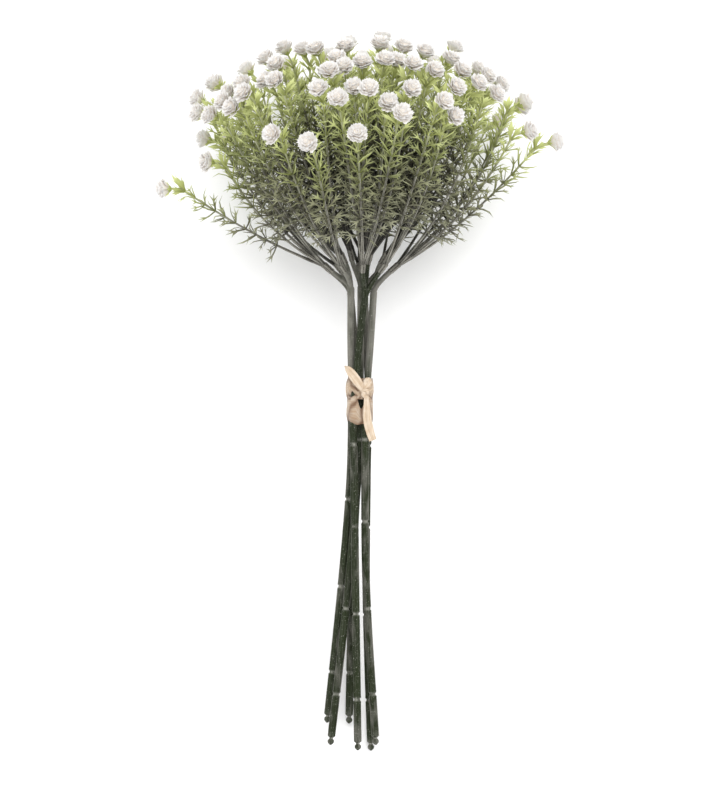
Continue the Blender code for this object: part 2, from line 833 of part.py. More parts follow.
def strip_mesh(points, widths, normals, thickness):
    """A flat ribbon along points, with a width at each point and a face looking along each normal."""
    bm = bmesh.new()
    made = bmesh.ops.create_circle(bm, cap_ends=True, segments=4, radius=1.0)
    face = made["verts"][0].link_faces[0]
    for k, point in enumerate(points):
        ahead = points[min(k + 1, len(points) - 1)] - points[max(k - 1, 0)]
        along = unit(ahead)
        out = normals[k] - along * float(normals[k] @ along)
        out = unit(out)
        side = np.cross(along, out)
        half = widths[k] * 0.5
        corners = [
            world(point + side * half + out * thickness * 0.5),
            world(point - side * half + out * thickness * 0.5),
            world(point - side * half - out * thickness * 0.5),
            world(point + side * half - out * thickness * 0.5),
        ]
        if k == 0:
            set_ring(face, corners)
        else:
            face, _ = grow(bm, face, corners)
    bmesh.ops.recalc_face_normals(bm, faces=bm.faces)
    return bm


def bump(around, middle, reach):
    """1 at the middle angle, falling to 0 at reach degrees from it."""
    off = abs((around - middle + 180.0) % 360.0 - 180.0) / reach
    return 0.5 + 0.5 * math.cos(math.pi * min(off, 1.0))


def lower_band_foot(around):
    return 180.5 + 1.0 * bump(around, 20.0, 90.0)


def lower_band_head(around):
    return 195.0 - 5.0 * bump(around, -4.0, 34.0)


def upper_band_foot(around):
    return 194.2 + 3.6 * bump(around, -38.0, 40.0)


def upper_band_head(around):
    return 205.4 + 1.2 * bump(around, -70.0, 90.0)


def knot_mesh():
    bm = bmesh.new()
    bmesh.ops.create_icosphere(bm, subdivisions=1, radius=1.0)
    for vert in bm.verts:
        place = [middle + size * at for middle, size, at in zip(KNOT_PLACE, KNOT_SIZE, vert.co)]
        vert.co = Vector(world(np.array(place))) * MM
    bmesh.ops.recalc_face_normals(bm, faces=bm.faces)
    return bm


def tail_mesh(rows):
    points = [np.array(row[:3]) for row in rows]
    widths = [row[3] for row in rows]
    normals = [unit(np.array((point[0] - TIE_CENTRE_U, 0.0, point[2]))) for point in points]
    return strip_mesh(points, widths, normals, RIBBON_THICKNESS)


def build_tie(surface, target):
    lower = band_mesh(lower_band_foot, lower_band_head, TIE_INNER_RADIUS, TIE_WALL, TIE_STEPS)
    upper = band_mesh(upper_band_foot, upper_band_head, TIE_INNER_RADIUS + 0.2, TIE_WALL, TIE_STEPS)
    base = mesh_object("raffia_tie", lower, target)
    others = [
        mesh_object("raffia_upper_band", upper, target),
        mesh_object("raffia_knot", knot_mesh(), target),
        mesh_object("raffia_upper_tail", tail_mesh(UPPER_TAIL), target),
        mesh_object("raffia_lower_tail", tail_mesh(LOWER_TAIL), target),
    ]
    made = fuse(base, others, "raffia_tie", target)
    dress(made, surface)
    return made


def main():
    clear_scene()
    parts = collection("gypsophila_stem")
    greenery = material("gypsophila_foliage", (0.22, 0.27, 0.12), 0.6)
    bark = material("dusted_stem", (0.10, 0.11, 0.07), 0.7)
    raffia = material("raffia", (0.62, 0.45, 0.28), 0.8)
    clusters = layout()
    for number, cluster in enumerate(clusters):
        build_cluster(number, cluster, greenery, parts)
    for number, stem in enumerate(STEMS):
        build_stem(number, stem, clusters, bark, parts)
    build_tie(raffia, parts)


main()
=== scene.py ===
import functools
import math
import random

import bmesh
import bpy
import numpy as np
from mathutils import Matrix, Vector, noise

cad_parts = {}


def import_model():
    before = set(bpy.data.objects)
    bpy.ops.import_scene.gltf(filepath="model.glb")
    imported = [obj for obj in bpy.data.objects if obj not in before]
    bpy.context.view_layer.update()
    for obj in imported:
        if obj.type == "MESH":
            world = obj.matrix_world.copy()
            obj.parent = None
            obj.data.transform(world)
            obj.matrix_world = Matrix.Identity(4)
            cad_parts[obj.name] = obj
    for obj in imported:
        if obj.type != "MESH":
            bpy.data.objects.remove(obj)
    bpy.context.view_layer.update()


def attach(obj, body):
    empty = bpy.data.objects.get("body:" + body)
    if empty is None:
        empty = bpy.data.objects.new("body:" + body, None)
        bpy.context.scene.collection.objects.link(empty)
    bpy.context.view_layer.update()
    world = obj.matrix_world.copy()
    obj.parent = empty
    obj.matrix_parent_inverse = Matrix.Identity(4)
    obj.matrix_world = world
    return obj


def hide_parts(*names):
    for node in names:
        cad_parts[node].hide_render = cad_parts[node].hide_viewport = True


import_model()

bl_info = {
    "name": "Gypsophila bunch",
    "version": (1, 0, 0),
    "blender": (4, 5, 0),
    "location": "3D View > Sidebar > Bunch",
    "description": "Foliage, blooms, dusted stems and raffia tie of a lying gypsophila bunch",
    "category": "Object",
}

# The bunch's own layout, as in the solids, in millimetres and degrees.
# Bunch coordinates: u to the right, v up along the bunch, w towards the viewer.
MM = 0.001
MM_PER_PIXEL = 0.55
PICTURE_WIDTH = 720.0
PICTURE_HEIGHT = 790.0
AXIS_PIXEL_X = 361.0
FOOT_PIXEL_Y = 752.0
LYING_TILT = math.radians(11.0)
LIFT = 10.0
SHIFT_X = 0.756
SHIFT_Y = -196.171
STEM_RADIUS = 2.2
STEM_TOP_RADIUS = 2.0
NOTCH_HEIGHTS = (28.0, 75.0, 123.0, 168.0)
# Each stem: foot height, top height, then its knots (v, u, w) from foot to top.
STEMS = (
    (1.1, 251.0, ((0, -1.7, 8.0), (89, -3.0, 6.6), (150, -3.7, 4.6), (192, -4.0, 3.5), (225, -0.9, 5.2),
                  (253, 2.6, 6.6))),
    (3.9, 254.0, ((0, 8.4, 0.5), (89, 3.0, 3.0), (150, 2.2, 3.7), (192, 2.9, 3.5), (225, 5.2, 1.6),
                  (255, 7.1, -0.4))),
    (0.55, 255.0, ((0, 5.5, -9.0), (89, 2.9, -5.5), (150, 3.3, -3.3), (192, 3.9, -2.1), (225, 3.1, -4.8),
                   (255, 1.8, -6.9))),
    (15.4, 254.0, ((15, -6.6, -9.5), (89, -5.0, -7.6), (150, -2.2, -5.6), (192, -0.7, -4.9),
                   (225, -3.4, -4.7), (255, -6.0, -3.9))),
    (16.0, 256.0, ((15, -18.8, -4.6), (89, -11.0, -3.6), (150, -6.0, -2.5), (192, -5.1, -1.8),
                   (225, -5.6, 1.3), (256, -5.5, 4.5))),
    (3.9, 257.0, ((0, -17.3, 2.6), (89, -7.2, 0.9), (150, -1.9, 0.1), (192, -0.55, 0.0), (225, -0.3, 0.0),
                  (257, 0.0, 0.0))),
)
SLEEVE_LENGTH = 4.6
PRONG_RADIUS = 1.15
# A prong starts this deep in the stem's top, and its handles reach this far.
PRONG_ROOT = 2.5
PRONG_HANDLE = 5.0
PLUG_GAP = 0.3
PRONG_FOCUS_V = 250.0
RING_SECTORS = (21.0, 93.0, 165.0, 237.0, 309.0)
CENTRE_SECTORS = (57.0, 177.0, 297.0)
HALF_OUTER_SECTOR = 18.0
# Rings of clusters: how many, their lean from the bunch's axis, and their hubs' distance from the focus.
CLUSTER_RINGS = (("centre", 3, 15.0, 26.0), ("inner", 5, 30.0, 26.5), ("outer", 10, 50.0, 27.0))
CENTRE_EDGE = 28.0
INNER_EDGE = 40.0
# A branchlet's line: how far it bends at its ends and sways, its handles as shares of its length and of its
# neck, and the samples of its length and neck.
START_BEND = 17.0
END_BEND = 13.0
SWAY = 0.09
HANDLE_SHARES = (0.36, 0.34)
NECK_SHARES = (0.45, 0.4)
LINE_STEPS = 36
NECK_STEPS = 4
CAP_FOCUS_V = 265.0
# The head's reach from its focus at angles from the bunch's axis.
CAP_ANGLES = (0.0, 20.0, 42.0, 52.0, 70.0)
CAP_REACH = (124.0, 131.0, 131.0, 121.0, 118.0)
CAP_MIDDLE_REACH = 126.0
# A bloom looks away from this height on the bunch's axis, and its calyx sits this far behind its middle.
LOOK_FROM_V = 300.0
BLOOM_SETBACK = 5.5
NECK_LENGTH = 6.0
# Blooms that crowd each other are moved apart to this gap, in so many rounds.
BLOOM_GAP = 3.0
SPREAD_ROUNDS = 60
# Blooms on the hidden side: a golden-angle spiral over the cap.
SPIRAL_COUNT = 80
SPIRAL_EDGE = 52.0
SPIRAL_JITTER = 2.0
SPIRAL_DEPTHS = (-7.0, 3.0)
GOLDEN_ANGLE = 137.508
HIDDEN_DEPTH = -14.0
LAYOUT_SEED = 71
# A read bloom's depth on the cap: where it starts, how many rounds find it, and its least square.
FIRST_DEPTH = 30.0
DEPTH_ROUNDS = 12
LEAST_SQUARE = 9.0
# Blooms on the visible side, read off the photograph: pixel x, pixel y.
READ_BLOOMS = (
    (284, 47), (303, 49), (316, 49), (346, 47), (380, 44), (403, 47), (425, 52), (455, 46),
    (266, 58), (276, 65), (337, 59), (329, 72), (344, 68), (362, 63), (385, 61), (397, 62),
    (413, 65), (434, 71), (451, 59), (462, 71), (478, 69), (487, 76), (213, 81), (242, 84),
    (266, 81), (275, 81), (197, 97), (228, 93), (244, 94), (223, 102), (232, 108), (197, 112),
    (210, 115), (319, 90), (338, 100), (354, 89), (369, 90), (388, 104), (402, 115), (411, 90),
    (444, 103), (454, 117), (456, 88), (478, 84), (501, 84), (496, 94), (272, 135), (308, 144),
    (357, 135),
)
# Stray blooms at the sides, with their depth towards the viewer in millimetres.
STRAY_BLOOMS = (
    (162, 188, 4.0), (206, 161, 24.0), (203, 137, -10.0),
    (557, 140, 0.0), (530, 130, 22.0), (526, 100, -6.0),
)
# Whorls of leaves, counted back from the bloom; the solids carry every second one.
WHORL_STEP = 13.0
WHORL_STRIDE = 2
WHORL_FROM_BLOOM = 8.0
BARE_LENGTH = 18.0
INNER_WHORLS = 5
OUTER_WHORLS = 6
LEAF_LENGTH = 9.6
LEAF_ANGLE = 46.0
LEAF_SIZES = (0.92, 1.08)
FIRST_WHORL_SHARE = 0.85
# A whorl of the solids is tried at so many turns, each so many degrees on, with its leaves at these shares.
WHORL_TURNS = 6
TURN_STEP = 20.0
LEAF_SHARES = (1.0, 0.8, 0.6)
SOLID_LEAF_HALF = 0.75
LEAF_FLOOR = 0.6
BRANCH_ROOT_RADIUS = 1.15
BRANCH_TIP_RADIUS = 0.8
BLOOM_RADIUS = 5.1
BLOOM_CORE = (4.4, 5.8)
BLOOM_CORE_RADIUS = BLOOM_RADIUS - 0.6
CLEARANCE = 0.4
# A bloom bends up softly near the table, and one whose petals reach this low is set down on them.
FLOOR_BLOOM = 4.4
FLOOR_SOFTNESS = 4.0
SET_DOWN_BELOW = 1.3
OUTER_TIP = (BLOOM_RADIUS, 5.7)
INNER_TIP = (4.3, 8.2)
BLOOM_TOP = 9.0
TIE_CENTRE_U = -0.55
# The ribbon's two ends from the knot outwards: u, v, w and width.
UPPER_TAIL = (
    (1.6, 198.5, 9.0, 2.4), (-1.4, 203.0, 9.9, 4.6), (-4.4, 207.0, 9.6, 5.0), (-7.0, 210.3, 8.8, 3.8),
    (-9.0, 212.2, 8.2, 0.9),
)
LOWER_TAIL = (
    (2.9, 197.0, 9.0, 2.4), (3.3, 190.0, 9.8, 3.6), (3.6, 183.0, 9.6, 4.6), (5.0, 176.5, 9.2, 4.7),
    (6.6, 171.5, 8.9, 4.2),
)
UP = np.array((0.0, 1.0, 0.0))
POLYETHYLENE_IOR = 1.5
RAFFIA_IOR = 1.5

# The finer leaves: the sparse length at a hub, their lean from the branchlet at the hub and at the bloom,
# a leaf's half width for the test against its neighbours, and how far it may graze them.
SPARSE_LENGTH = 27.0
HUB_LEAN = 86.0
BLOOM_LEAN = 36.0
LEAF_HALF = 0.3
LEAF_ROOM = -0.4

# The head's reach sideways, in slices of its height: the share of branchlets that it takes in, its margin,
# and its least. Then where the outside starts, as a share of that reach, and over what share it is reached.
SLICE = 10.0
REACH_PERCENTILE = 85
REACH_MARGIN = 4.0
LEAST_REACH = 20.0
# Deeper in than where the outside starts, the foliage is painted darker, as shade.
SIDE_START, SIDE_SPAN, SIDE_MOST = 0.55, 0.4, 0.7
CAP_START, CAP_SPAN = 0.64, 0.22
AXIS_HEIGHTS = (200.0, 380.0)


# Colour

def linear(code):
    """A six-digit sRGB hex value as linear red, green and blue."""
    channels = [int(code[at:at + 2], 16) / 255.0 for at in (0, 2, 4)]
    return tuple(c / 12.92 if c <= 0.04045 else ((c + 0.055) / 1.055) ** 2.4 for c in channels)


def opaque(colour):
    return (*colour, 1.0)


# Layout

def unit(vector):
    return vector / np.linalg.norm(vector)


def clamp(value):
    return min(max(value, 0.0), 1.0)


def turned(side, other, turn):
    """The direction at an angle from side towards other."""
    return side * math.cos(turn) + other * math.sin(turn)


def across(direction):
    """A unit vector square to direction."""
    helper = np.array((0.0, 0.0, 1.0)) if abs(direction[2]) < 0.9 else np.array((1.0, 0.0, 0.0))
    return unit(np.cross(direction, helper))


def world(point):
    """Bunch coordinates to the lying frame, still in millimetres."""
    u, v, w = point
    cosine = math.cos(LYING_TILT)
    sine = math.sin(LYING_TILT)
    return np.array((u + SHIFT_X, v * cosine - w * sine + SHIFT_Y, v * sine + w * cosine + LIFT))


def laid(point):
    """A point of the head in the lying frame, with what would sink below the table bent up."""
    out = world(point)
    out[2] = FLOOR_BLOOM + FLOOR_SOFTNESS * np.logaddexp(0.0, (out[2] - FLOOR_BLOOM) / FLOOR_SOFTNESS)
    return out


def toward(polar, around):
    polar = math.radians(polar)
    around = math.radians(around)
    out = math.sin(polar)
    return np.array((out * math.sin(around), math.cos(polar), out * math.cos(around)))


def angles_of(direction):
    around = math.degrees(math.atan2(direction[0], direction[2])) % 360.0
    return math.degrees(math.acos(direction[1])), around


def cap_reach(polar):
    return float(np.interp(polar, CAP_ANGLES, CAP_REACH))


def read_bloom(x, y, depth=None):
    """A bloom's middle from its place in the photograph; with no depth it lies on the front of the cap."""
    u = (x - AXIS_PIXEL_X) * MM_PER_PIXEL
    v = (FOOT_PIXEL_Y - y) * MM_PER_PIXEL - CAP_FOCUS_V
    if depth is not None:
        return np.array((u, v, depth))
    depth = FIRST_DEPTH
    for _ in range(DEPTH_ROUNDS):
        polar = angles_of(unit(np.array((u, v, depth))))[0]
        depth = math.sqrt(max(cap_reach(polar) ** 2 - u * u - v * v, LEAST_SQUARE))
    return np.array((u, v, depth))


def bloom_places():
    """Bloom middles from the cap's focus: those read off the photograph, then a spiral on the hidden side."""
    rng = random.Random(LAYOUT_SEED)
    places = [read_bloom(x, y) for x, y in READ_BLOOMS]
    places += [read_bloom(x, y, depth) for x, y, depth in STRAY_BLOOMS]
    read = len(places)
    for k in range(SPIRAL_COUNT):
        share = (k + 0.5) / SPIRAL_COUNT
        polar = math.degrees(math.acos(1.0 - (1.0 - math.cos(math.radians(SPIRAL_EDGE))) * share))
        polar += rng.uniform(-SPIRAL_JITTER, SPIRAL_JITTER)
        off = rng.uniform(-SPIRAL_JITTER, SPIRAL_JITTER) / max(math.sin(math.radians(polar)), 0.2)
        reach = cap_reach(abs(polar)) + rng.uniform(*SPIRAL_DEPTHS)
        place = toward(abs(polar), k * GOLDEN_ANGLE + off) * reach
        if place[2] < HIDDEN_DEPTH:
            places.append(place)
    return spread_blooms(places, read)


def spread_blooms(places, read):
    """Moves blooms that crowd each other apart; those read off the photograph move in depth only."""
    least = 2.0 * BLOOM_RADIUS + BLOOM_GAP
    for _ in range(SPREAD_ROUNDS):
        for i in range(len(places)):
            for j in range(i):
                apart = places[i] - places[j]
                gap = np.linalg.norm(apart)
                if gap >= least:
                    continue
                push = apart / gap * (least - gap) * 0.5
                deep = np.array((0.0, 0.0, 1.0 if apart[2] >= 0.0 else -1.0)) * (least - gap) * 0.6
                places[i] = places[i] + (deep if i < read else push)
                places[j] = places[j] - (deep if j < read else push)
    return places


def cell_of(place):
    """The name of the cluster that a bloom belongs to: centre, inner or outer, and its number."""
    polar, around = angles_of(unit(place))
    if polar < CENTRE_EDGE:
        return "centre", round((around - CENTRE_SECTORS[0]) / 120.0) % 3
    ring = round((around - RING_SECTORS[0]) / 72.0) % 5
    if polar < INNER_EDGE:
        return "inner", ring
    return "outer", round((around - RING_SECTORS[0] + HALF_OUTER_SECTOR) / 36.0) % 10


def cluster_plan():
    """Every cluster: its stem's number, hub, direction, and the places of its blooms."""
    cells = {}
    for place in bloom_places():
        cells.setdefault(cell_of(place), []).append(place)
    plan = []
    for kind, count, lean, reach in CLUSTER_RINGS:
        for number in range(count):
            if kind == "centre":
                stem, around = 5, CENTRE_SECTORS[number]
            elif kind == "inner":
                stem, around = number, RING_SECTORS[number]
            else:
                stem, around = number // 2, RING_SECTORS[0] - HALF_OUTER_SECTOR + 36.0 * number
            direction = toward(lean, around)
            hub = UP * PRONG_FOCUS_V + direction * reach
            blooms = cells[(kind, number)]
            plan.append({"kind": kind, "stem": stem, "hub": hub, "direction": direction, "blooms": blooms})
    return plan


def bezier(p0, p1, p2, p3, t):
    s = 1.0 - t
    return p0 * s ** 3 + p1 * 3.0 * s * s * t + p2 * 3.0 * s * t * t + p3 * t ** 3


def bent(chord, outward, degrees):
    """The chord turned outwards from the bunch's axis by an angle."""
    angle = math.radians(degrees)
    return unit(chord * math.cos(angle) + outward * math.sin(angle))


def branch_line(hub, middle, rng):
    """A branchlet's centre line in the lying frame: it leaves its hub outwards, curves up, and nods."""
    look = unit(middle - UP * LOOK_FROM_V)
    foot = middle - look * BLOOM_SETBACK
    tip = foot - look * NECK_LENGTH
    chord = tip - hub
    length = np.linalg.norm(chord)
    chord = chord / length
    radial = chord - UP * float(chord @ UP)
    spread = float(np.linalg.norm(radial))
    outward = unit(radial / spread - chord * float(radial @ chord) / spread)
    # Those along the bunch's axis hardly bend, and those nearly square to it not at all.
    bend = min(spread / 0.7, 1.2) * clamp((0.95 - spread) / 0.15)
    sway = np.array([rng.uniform(-SWAY, SWAY) for _ in range(3)])
    start = unit(bent(chord, outward, START_BEND * bend) + sway)
    end = unit(bent(chord, outward, -END_BEND * bend) - sway)
    handles = (hub, hub + start * length * HANDLE_SHARES[0], tip - end * length * HANDLE_SHARES[1], tip)
    line = [bezier(*handles, k / LINE_STEPS) for k in range(LINE_STEPS + 1)]
    neck = (
        tip, tip + end * NECK_LENGTH * NECK_SHARES[0], foot - look * NECK_LENGTH * NECK_SHARES[1], foot,
    )
    line += [bezier(*neck, k / NECK_STEPS) for k in range(1, NECK_STEPS + 1)]
    return np.array([laid(point) for point in line])


def place_on(line, distance_from_tip, each_way=1.5):
    """Point and direction on a sampled line, at a distance back from its tip."""
    steps = np.linalg.norm(np.diff(line, axis=0), axis=1)
    along = np.concatenate(((0.0,), np.cumsum(steps)))
    middle = along[-1] - distance_from_tip
    point, ahead, behind = (
        np.array([np.interp(at, along, line[:, k]) for k in range(3)])
        for at in (middle, middle + each_way, middle - each_way)
    )
    return point, unit(ahead - behind)


def line_length(line):
    return float(np.linalg.norm(np.diff(line, axis=0), axis=1).sum())


def bloom_point(foot, axis, side, radius, height, turn):
    return foot + axis * height + turned(side, np.cross(axis, side), turn) * radius


def petal_tips(foot, axis, side):
    tips = []
    for k in range(6):
        turn = math.radians(60.0 * k + 30.0)
        tips += [bloom_point(foot, axis, side, *tip, turn) for tip in (OUTER_TIP, INNER_TIP)]
    tips.append(foot + axis * BLOOM_TOP)
    return np.array(tips)


def lay_branch(hub, middle, rng):
    """A branchlet and its bloom; a bloom close to the table is set down on its petals."""
    line = branch_line(hub, middle, rng)
    axis = unit(line[-1] - line[-2])
    side = across(axis)
    side = turned(side, np.cross(axis, side), rng.uniform(0.0, 1.0))
    lowest = petal_tips(line[-1], axis, side)[:, 2].min()
    if lowest < SET_DOWN_BELOW:
        weight = np.linspace(0.0, 1.0, len(line)) ** 3
        line[:, 2] -= weight * lowest
    return {"line": line, "axis": axis, "side": side}


def segment_distance(p, q, starts, ends):
    """Distances from the segment p-q to each of many segments."""
    d1 = q - p
    d2 = ends - starts
    r = p - starts
    a = float(d1 @ d1) + 1e-9
    e = np.einsum("ij,ij->i", d2, d2) + 1e-9
    f = np.einsum("ij,ij->i", d2, r)
    c = r @ d1
    b = d2 @ d1
    s = np.clip((b * f - c * e) / np.maximum(a * e - b * b, 1e-9), 0.0, 1.0)
    t = np.clip((b * s + f) / e, 0.0, 1.0)
    s = np.clip((b * t - c) / a, 0.0, 1.0)
    gap = (p + s[:, None] * d1) - (starts + t[:, None] * d2)
    return np.linalg.norm(gap, axis=1)


class Crowd:
    """Everything already placed, as round-ended rods with a radius and an owner."""

    def __init__(self):
        self.starts = []
        self.ends = []
        self.radii = []
        self.owners = []
        self.table = None

    def add(self, owner, start, end, radius):
        self.starts.append(start)
        self.ends.append(end)
        self.radii.append(radius)
        self.owners.append(owner)
        self.table = None

    def room(self, owner, start, end, radius):
        """The least free distance from a rod to everything of other owners."""
        if self.table is None:
            self.table = (
                np.array(self.starts), np.array(self.ends), np.array(self.radii), np.array(self.owners),
            )
        starts, ends, radii, owners = self.table
        near = owners != owner
        gaps = segment_distance(start, end, starts[near], ends[near]) - radii[near] - radius
        return float(gaps.min())


def branch_radius(share):
    return BRANCH_ROOT_RADIUS + (BRANCH_TIP_RADIUS - BRANCH_ROOT_RADIUS) * share


def crowd_of(clusters, own=False):
    """The branchlets and blooms of every cluster; with own set, each branchlet is an owner by itself."""
    crowd = Crowd()
    number = 0
    last = LINE_STEPS + NECK_STEPS
    for owner, cluster in enumerate(clusters):
        for branch in cluster["branches"]:
            name = number if own else owner
            branch["number"] = number
            number += 1
            line = branch["line"]
            for k in range(0, last, 4):
                crowd.add(name, line[k], line[k + 4], branch_radius(k / last))
            low, high = (line[-1] + branch["axis"] * height for height in BLOOM_CORE)
            crowd.add(name, low, high, BLOOM_CORE_RADIUS)
    return crowd


def leaf_tip(point, direction, spoke, length, angle):
    angle = math.radians(angle)
    tip = point + direction * (math.cos(angle) * length) + spoke * (math.sin(angle) * length)
    tip[2] = max(tip[2], LEAF_FLOOR)
    return tip


def whorl_leaves(crowd, owner, point, direction, length, rng):
    """Three leaf tips round a whorl and the whorl's turn, clear of every other cluster."""
    side = across(direction)
    other = np.cross(direction, side)
    base = rng.uniform(0.0, 120.0)
    best = None
    for step in range(WHORL_TURNS):
        turn = base + step * TURN_STEP
        tips = []
        score = 0
        for k in range(3):
            spoke = turned(side, other, math.radians(turn + 120.0 * k))
            found = None
            for share in LEAF_SHARES:
                tip = leaf_tip(point, direction, spoke, length * share, LEAF_ANGLE)
                if crowd.room(owner, point, tip, SOLID_LEAF_HALF) > CLEARANCE:
                    found = tip
                    score += share
                    break
            tips.append(found)
        if best is None or score > best[0] + 0.01:
            best = (score, math.radians(turn), tips)
        if score > 2.99:
            break
    for tip in best[2]:
        if tip is not None:
            crowd.add(owner, point, tip, SOLID_LEAF_HALF)
    return best[1], best[2]


def whorl_count(cluster, branch):
    count = int((line_length(branch["line"]) - BARE_LENGTH - WHORL_FROM_BLOOM) / WHORL_STEP) + 1
    return min(count, OUTER_WHORLS if cluster["kind"] == "outer" else INNER_WHORLS)


@functools.lru_cache(maxsize=1)
def layout():
    """The whole head: every cluster with its branchlets, blooms and leaf whorls, in millimetres."""
    clusters = cluster_plan()
    rng = random.Random(LAYOUT_SEED + 1)
    for cluster in clusters:
        middles = [UP * CAP_FOCUS_V + place for place in cluster["blooms"]]
        cluster["branches"] = [lay_branch(cluster["hub"], middle, rng) for middle in middles]
    crowd = crowd_of(clusters)
    for owner, cluster in enumerate(clusters):
        for branch in cluster["branches"]:
            branch["whorls"] = {}
            for k in range(0, whorl_count(cluster, branch), WHORL_STRIDE):
                back = WHORL_FROM_BLOOM + k * WHORL_STEP
                point, direction = place_on(branch["line"], back)
                size = LEAF_LENGTH * (FIRST_WHORL_SHARE if k == 0 else 1.0) * rng.uniform(*LEAF_SIZES)
                turn, tips = whorl_leaves(crowd, owner, point, direction, size, rng)
                branch["whorls"][k] = (turn, tips)
    return clusters


def smooth_value(knots, v, column):
    """A smooth curve through the knots, by the slopes of the neighbours."""
    heights = [knot[0] for knot in knots]
    values = [knot[column] for knot in knots]
    last = len(knots) - 1
    k = min(max(sum(1 for height in heights if height <= v) - 1, 0), last - 1)
    slopes = []
    for at in (k, k + 1):
        low = max(at - 1, 0)
        high = min(at + 1, last)
        slopes.append((values[high] - values[low]) / (heights[high] - heights[low]))
    span = heights[k + 1] - heights[k]
    t = (v - heights[k]) / span
    return (
        values[k] * (2 * t ** 3 - 3 * t * t + 1)
        + slopes[0] * span * (t ** 3 - 2 * t * t + t)
        + values[k + 1] * (3 * t * t - 2 * t ** 3)
        + slopes[1] * span * (t ** 3 - t * t)
    )


def stem_point(stem, v):
    return np.array((smooth_value(stem[2], v, 1), v, smooth_value(stem[2], v, 2)))


def prong_line(stem, cluster, steps):
    """A prong's centre line from inside the stem's top to just short of the sleeve's end."""
    top = stem_point(stem, stem[1] - PRONG_ROOT)
    heading = unit(stem_point(stem, stem[1]) - stem_point(stem, stem[1] - 8.0))
    end = cluster["hub"] - cluster["direction"] * (SLEEVE_LENGTH + PLUG_GAP)
    handles = (top, top + heading * PRONG_HANDLE, end - cluster["direction"] * PRONG_HANDLE, end)
    return [bezier(*handles, k / steps) for k in range(steps + 1)]


def off_axis(point):
    """How far a place lies from the bunch's axis."""
    low, high = (world(UP * height) for height in AXIS_HEIGHTS)
    on_axis = low + (high - low) * ((point[1] - low[1]) / (high[1] - low[1]))
    return math.hypot(point[0] - on_axis[0], point[2] - on_axis[2])


@functools.lru_cache(maxsize=None)
def head_reach():
    """How far most branchlets reach from the axis, for every slice of height."""
    slices = {}
    for cluster in layout():
        for branch in cluster["branches"]:
            for point in branch["line"]:
                slices.setdefault(int(point[1] // SLICE), []).append(off_axis(point))
    return {at: float(np.percentile(found, REACH_PERCENTILE)) + REACH_MARGIN for at, found in slices.items()}


def light_exposure(point):
    """0 deep inside the head, 1 at its outside and under its cap of blooms; it sets the painted shade of the
    foliage, darkest where it is 0.
    """
    reach = head_reach().get(int(point[1] // SLICE), LEAST_REACH)
    sideways = (off_axis(point) / reach - SIDE_START) / SIDE_SPAN
    from_focus = float(np.linalg.norm(point - world(UP * CAP_FOCUS_V)))
    upward = (from_focus / CAP_MIDDLE_REACH - CAP_START) / CAP_SPAN
    outer = max(min(sideways, SIDE_MOST), min(upward, 1.0), 0.0)
    return outer * outer * (3.0 - 2.0 * outer)


def bump(around, middle, reach):
    """1 at the middle angle, falling to 0 at reach degrees from it."""
    off = abs((around - middle + 180.0) % 360.0 - 180.0) / reach
    return 0.5 + 0.5 * math.cos(math.pi * min(off, 1.0))


# Mesh building

def new_mesh():
    """A mesh in progress and its growth layer, which holds the marks that the materials read."""
    bm = bmesh.new()
    return bm, bm.verts.layers.float_vector.new("growth")


def set_ring(face, points, scale=MM):
    for loop, point in zip(face.loops, points):
        loop.vert.co = Vector(point) * scale


def grow(bm, face, points, scale=MM):
    """Extrudes the end face to a new ring; returns the new end face and the side faces in ring order."""
    walled = len(face.edges[0].link_faces) > 1
    made = bmesh.ops.extrude_face_region(bm, geom=[face])
    end = next(item for item in made["geom"] if isinstance(item, bmesh.types.BMFace))
    if walled:
        bmesh.ops.delete(bm, geom=[face], context="FACES_ONLY")
    set_ring(end, points, scale)
    sides = []
    for loop in end.loops:
        sides.append(next(item for item in loop.edge.link_faces if item is not end))
    return end, sides


def round_ring(sides):
    """Points of a round ring: angle, share of the radius, and 1 on an edge."""
    return [(math.tau * n / sides, 1.0, 0.0) for n in range(sides)]


def flat_ring(flats, corner):
    """Points of a ring with flat sides that meet in narrow bevelled edges."""
    half = math.pi / flats
    ring = []
    for n in range(flats):
        middle = 2.0 * half * n
        ring.append((middle - half + corner, 1.0, 1.0))
        ring.append((middle, math.cos(half - corner), 0.0))
        ring.append((middle + half - corner, 1.0, 1.0))
    return ring


def rings_along(points, radii, plan):
    """Rings round a line, each turned as little as it can be from the one before."""
    rings = []
    side = None
    for k, point in enumerate(points):
        along = unit(points[min(k + 1, len(points) - 1)] - points[max(k - 1, 0)])
        side = across(along) if side is None else unit(side - along * float(side @ along))
        other = np.cross(along, side)
        rings.append([point + turned(side, other, turn) * radii[k] * share for turn, share, _ in plan])
    return rings


def tube(points, radii, plan, marks, edge=0.0, flank_dust_and_highlight=0.0):
    """A closed tube along points in millimetres, with a growth mark for each ring.

    The edges are paler by edge, and the sides that do not face up are paler by the last share, as more dust
    and a painted highlight."""
    bm, layer = new_mesh()
    made = bmesh.ops.create_circle(bm, cap_ends=True, segments=len(plan), radius=1.0)
    face = made["verts"][0].link_faces[0]
    for k, ring in enumerate(rings_along(points, radii, plan)):
        if k == 0:
            set_ring(face, ring)
        else:
            face, _ = grow(bm, face, ring)
        for vert, place, (_, _, on_edge) in zip(face.verts, ring, plan):
            off = place - points[k]
            facing = max(0.0, float(off[2] / np.linalg.norm(off)))
            # Sides that do not face up: more dust and a painted highlight.
            dust = marks[k][2] + flank_dust_and_highlight * (1.0 - facing) ** 1.5
            vert[layer] = (marks[k][0], marks[k][1] + edge * on_edge, dust)
    bmesh.ops.recalc_face_normals(bm, faces=bm.faces)
    return bm


def as_mesh(bm, name):
    mesh = bpy.data.meshes.new(name)
    bm.to_mesh(mesh)
    bm.free()
    return mesh


def keep_above(bm, height):
    """Lifts whatever lies lower to a height in metres, so that nothing sinks into the table."""
    for vert in bm.verts:
        vert.co.z = max(vert.co.z, height)


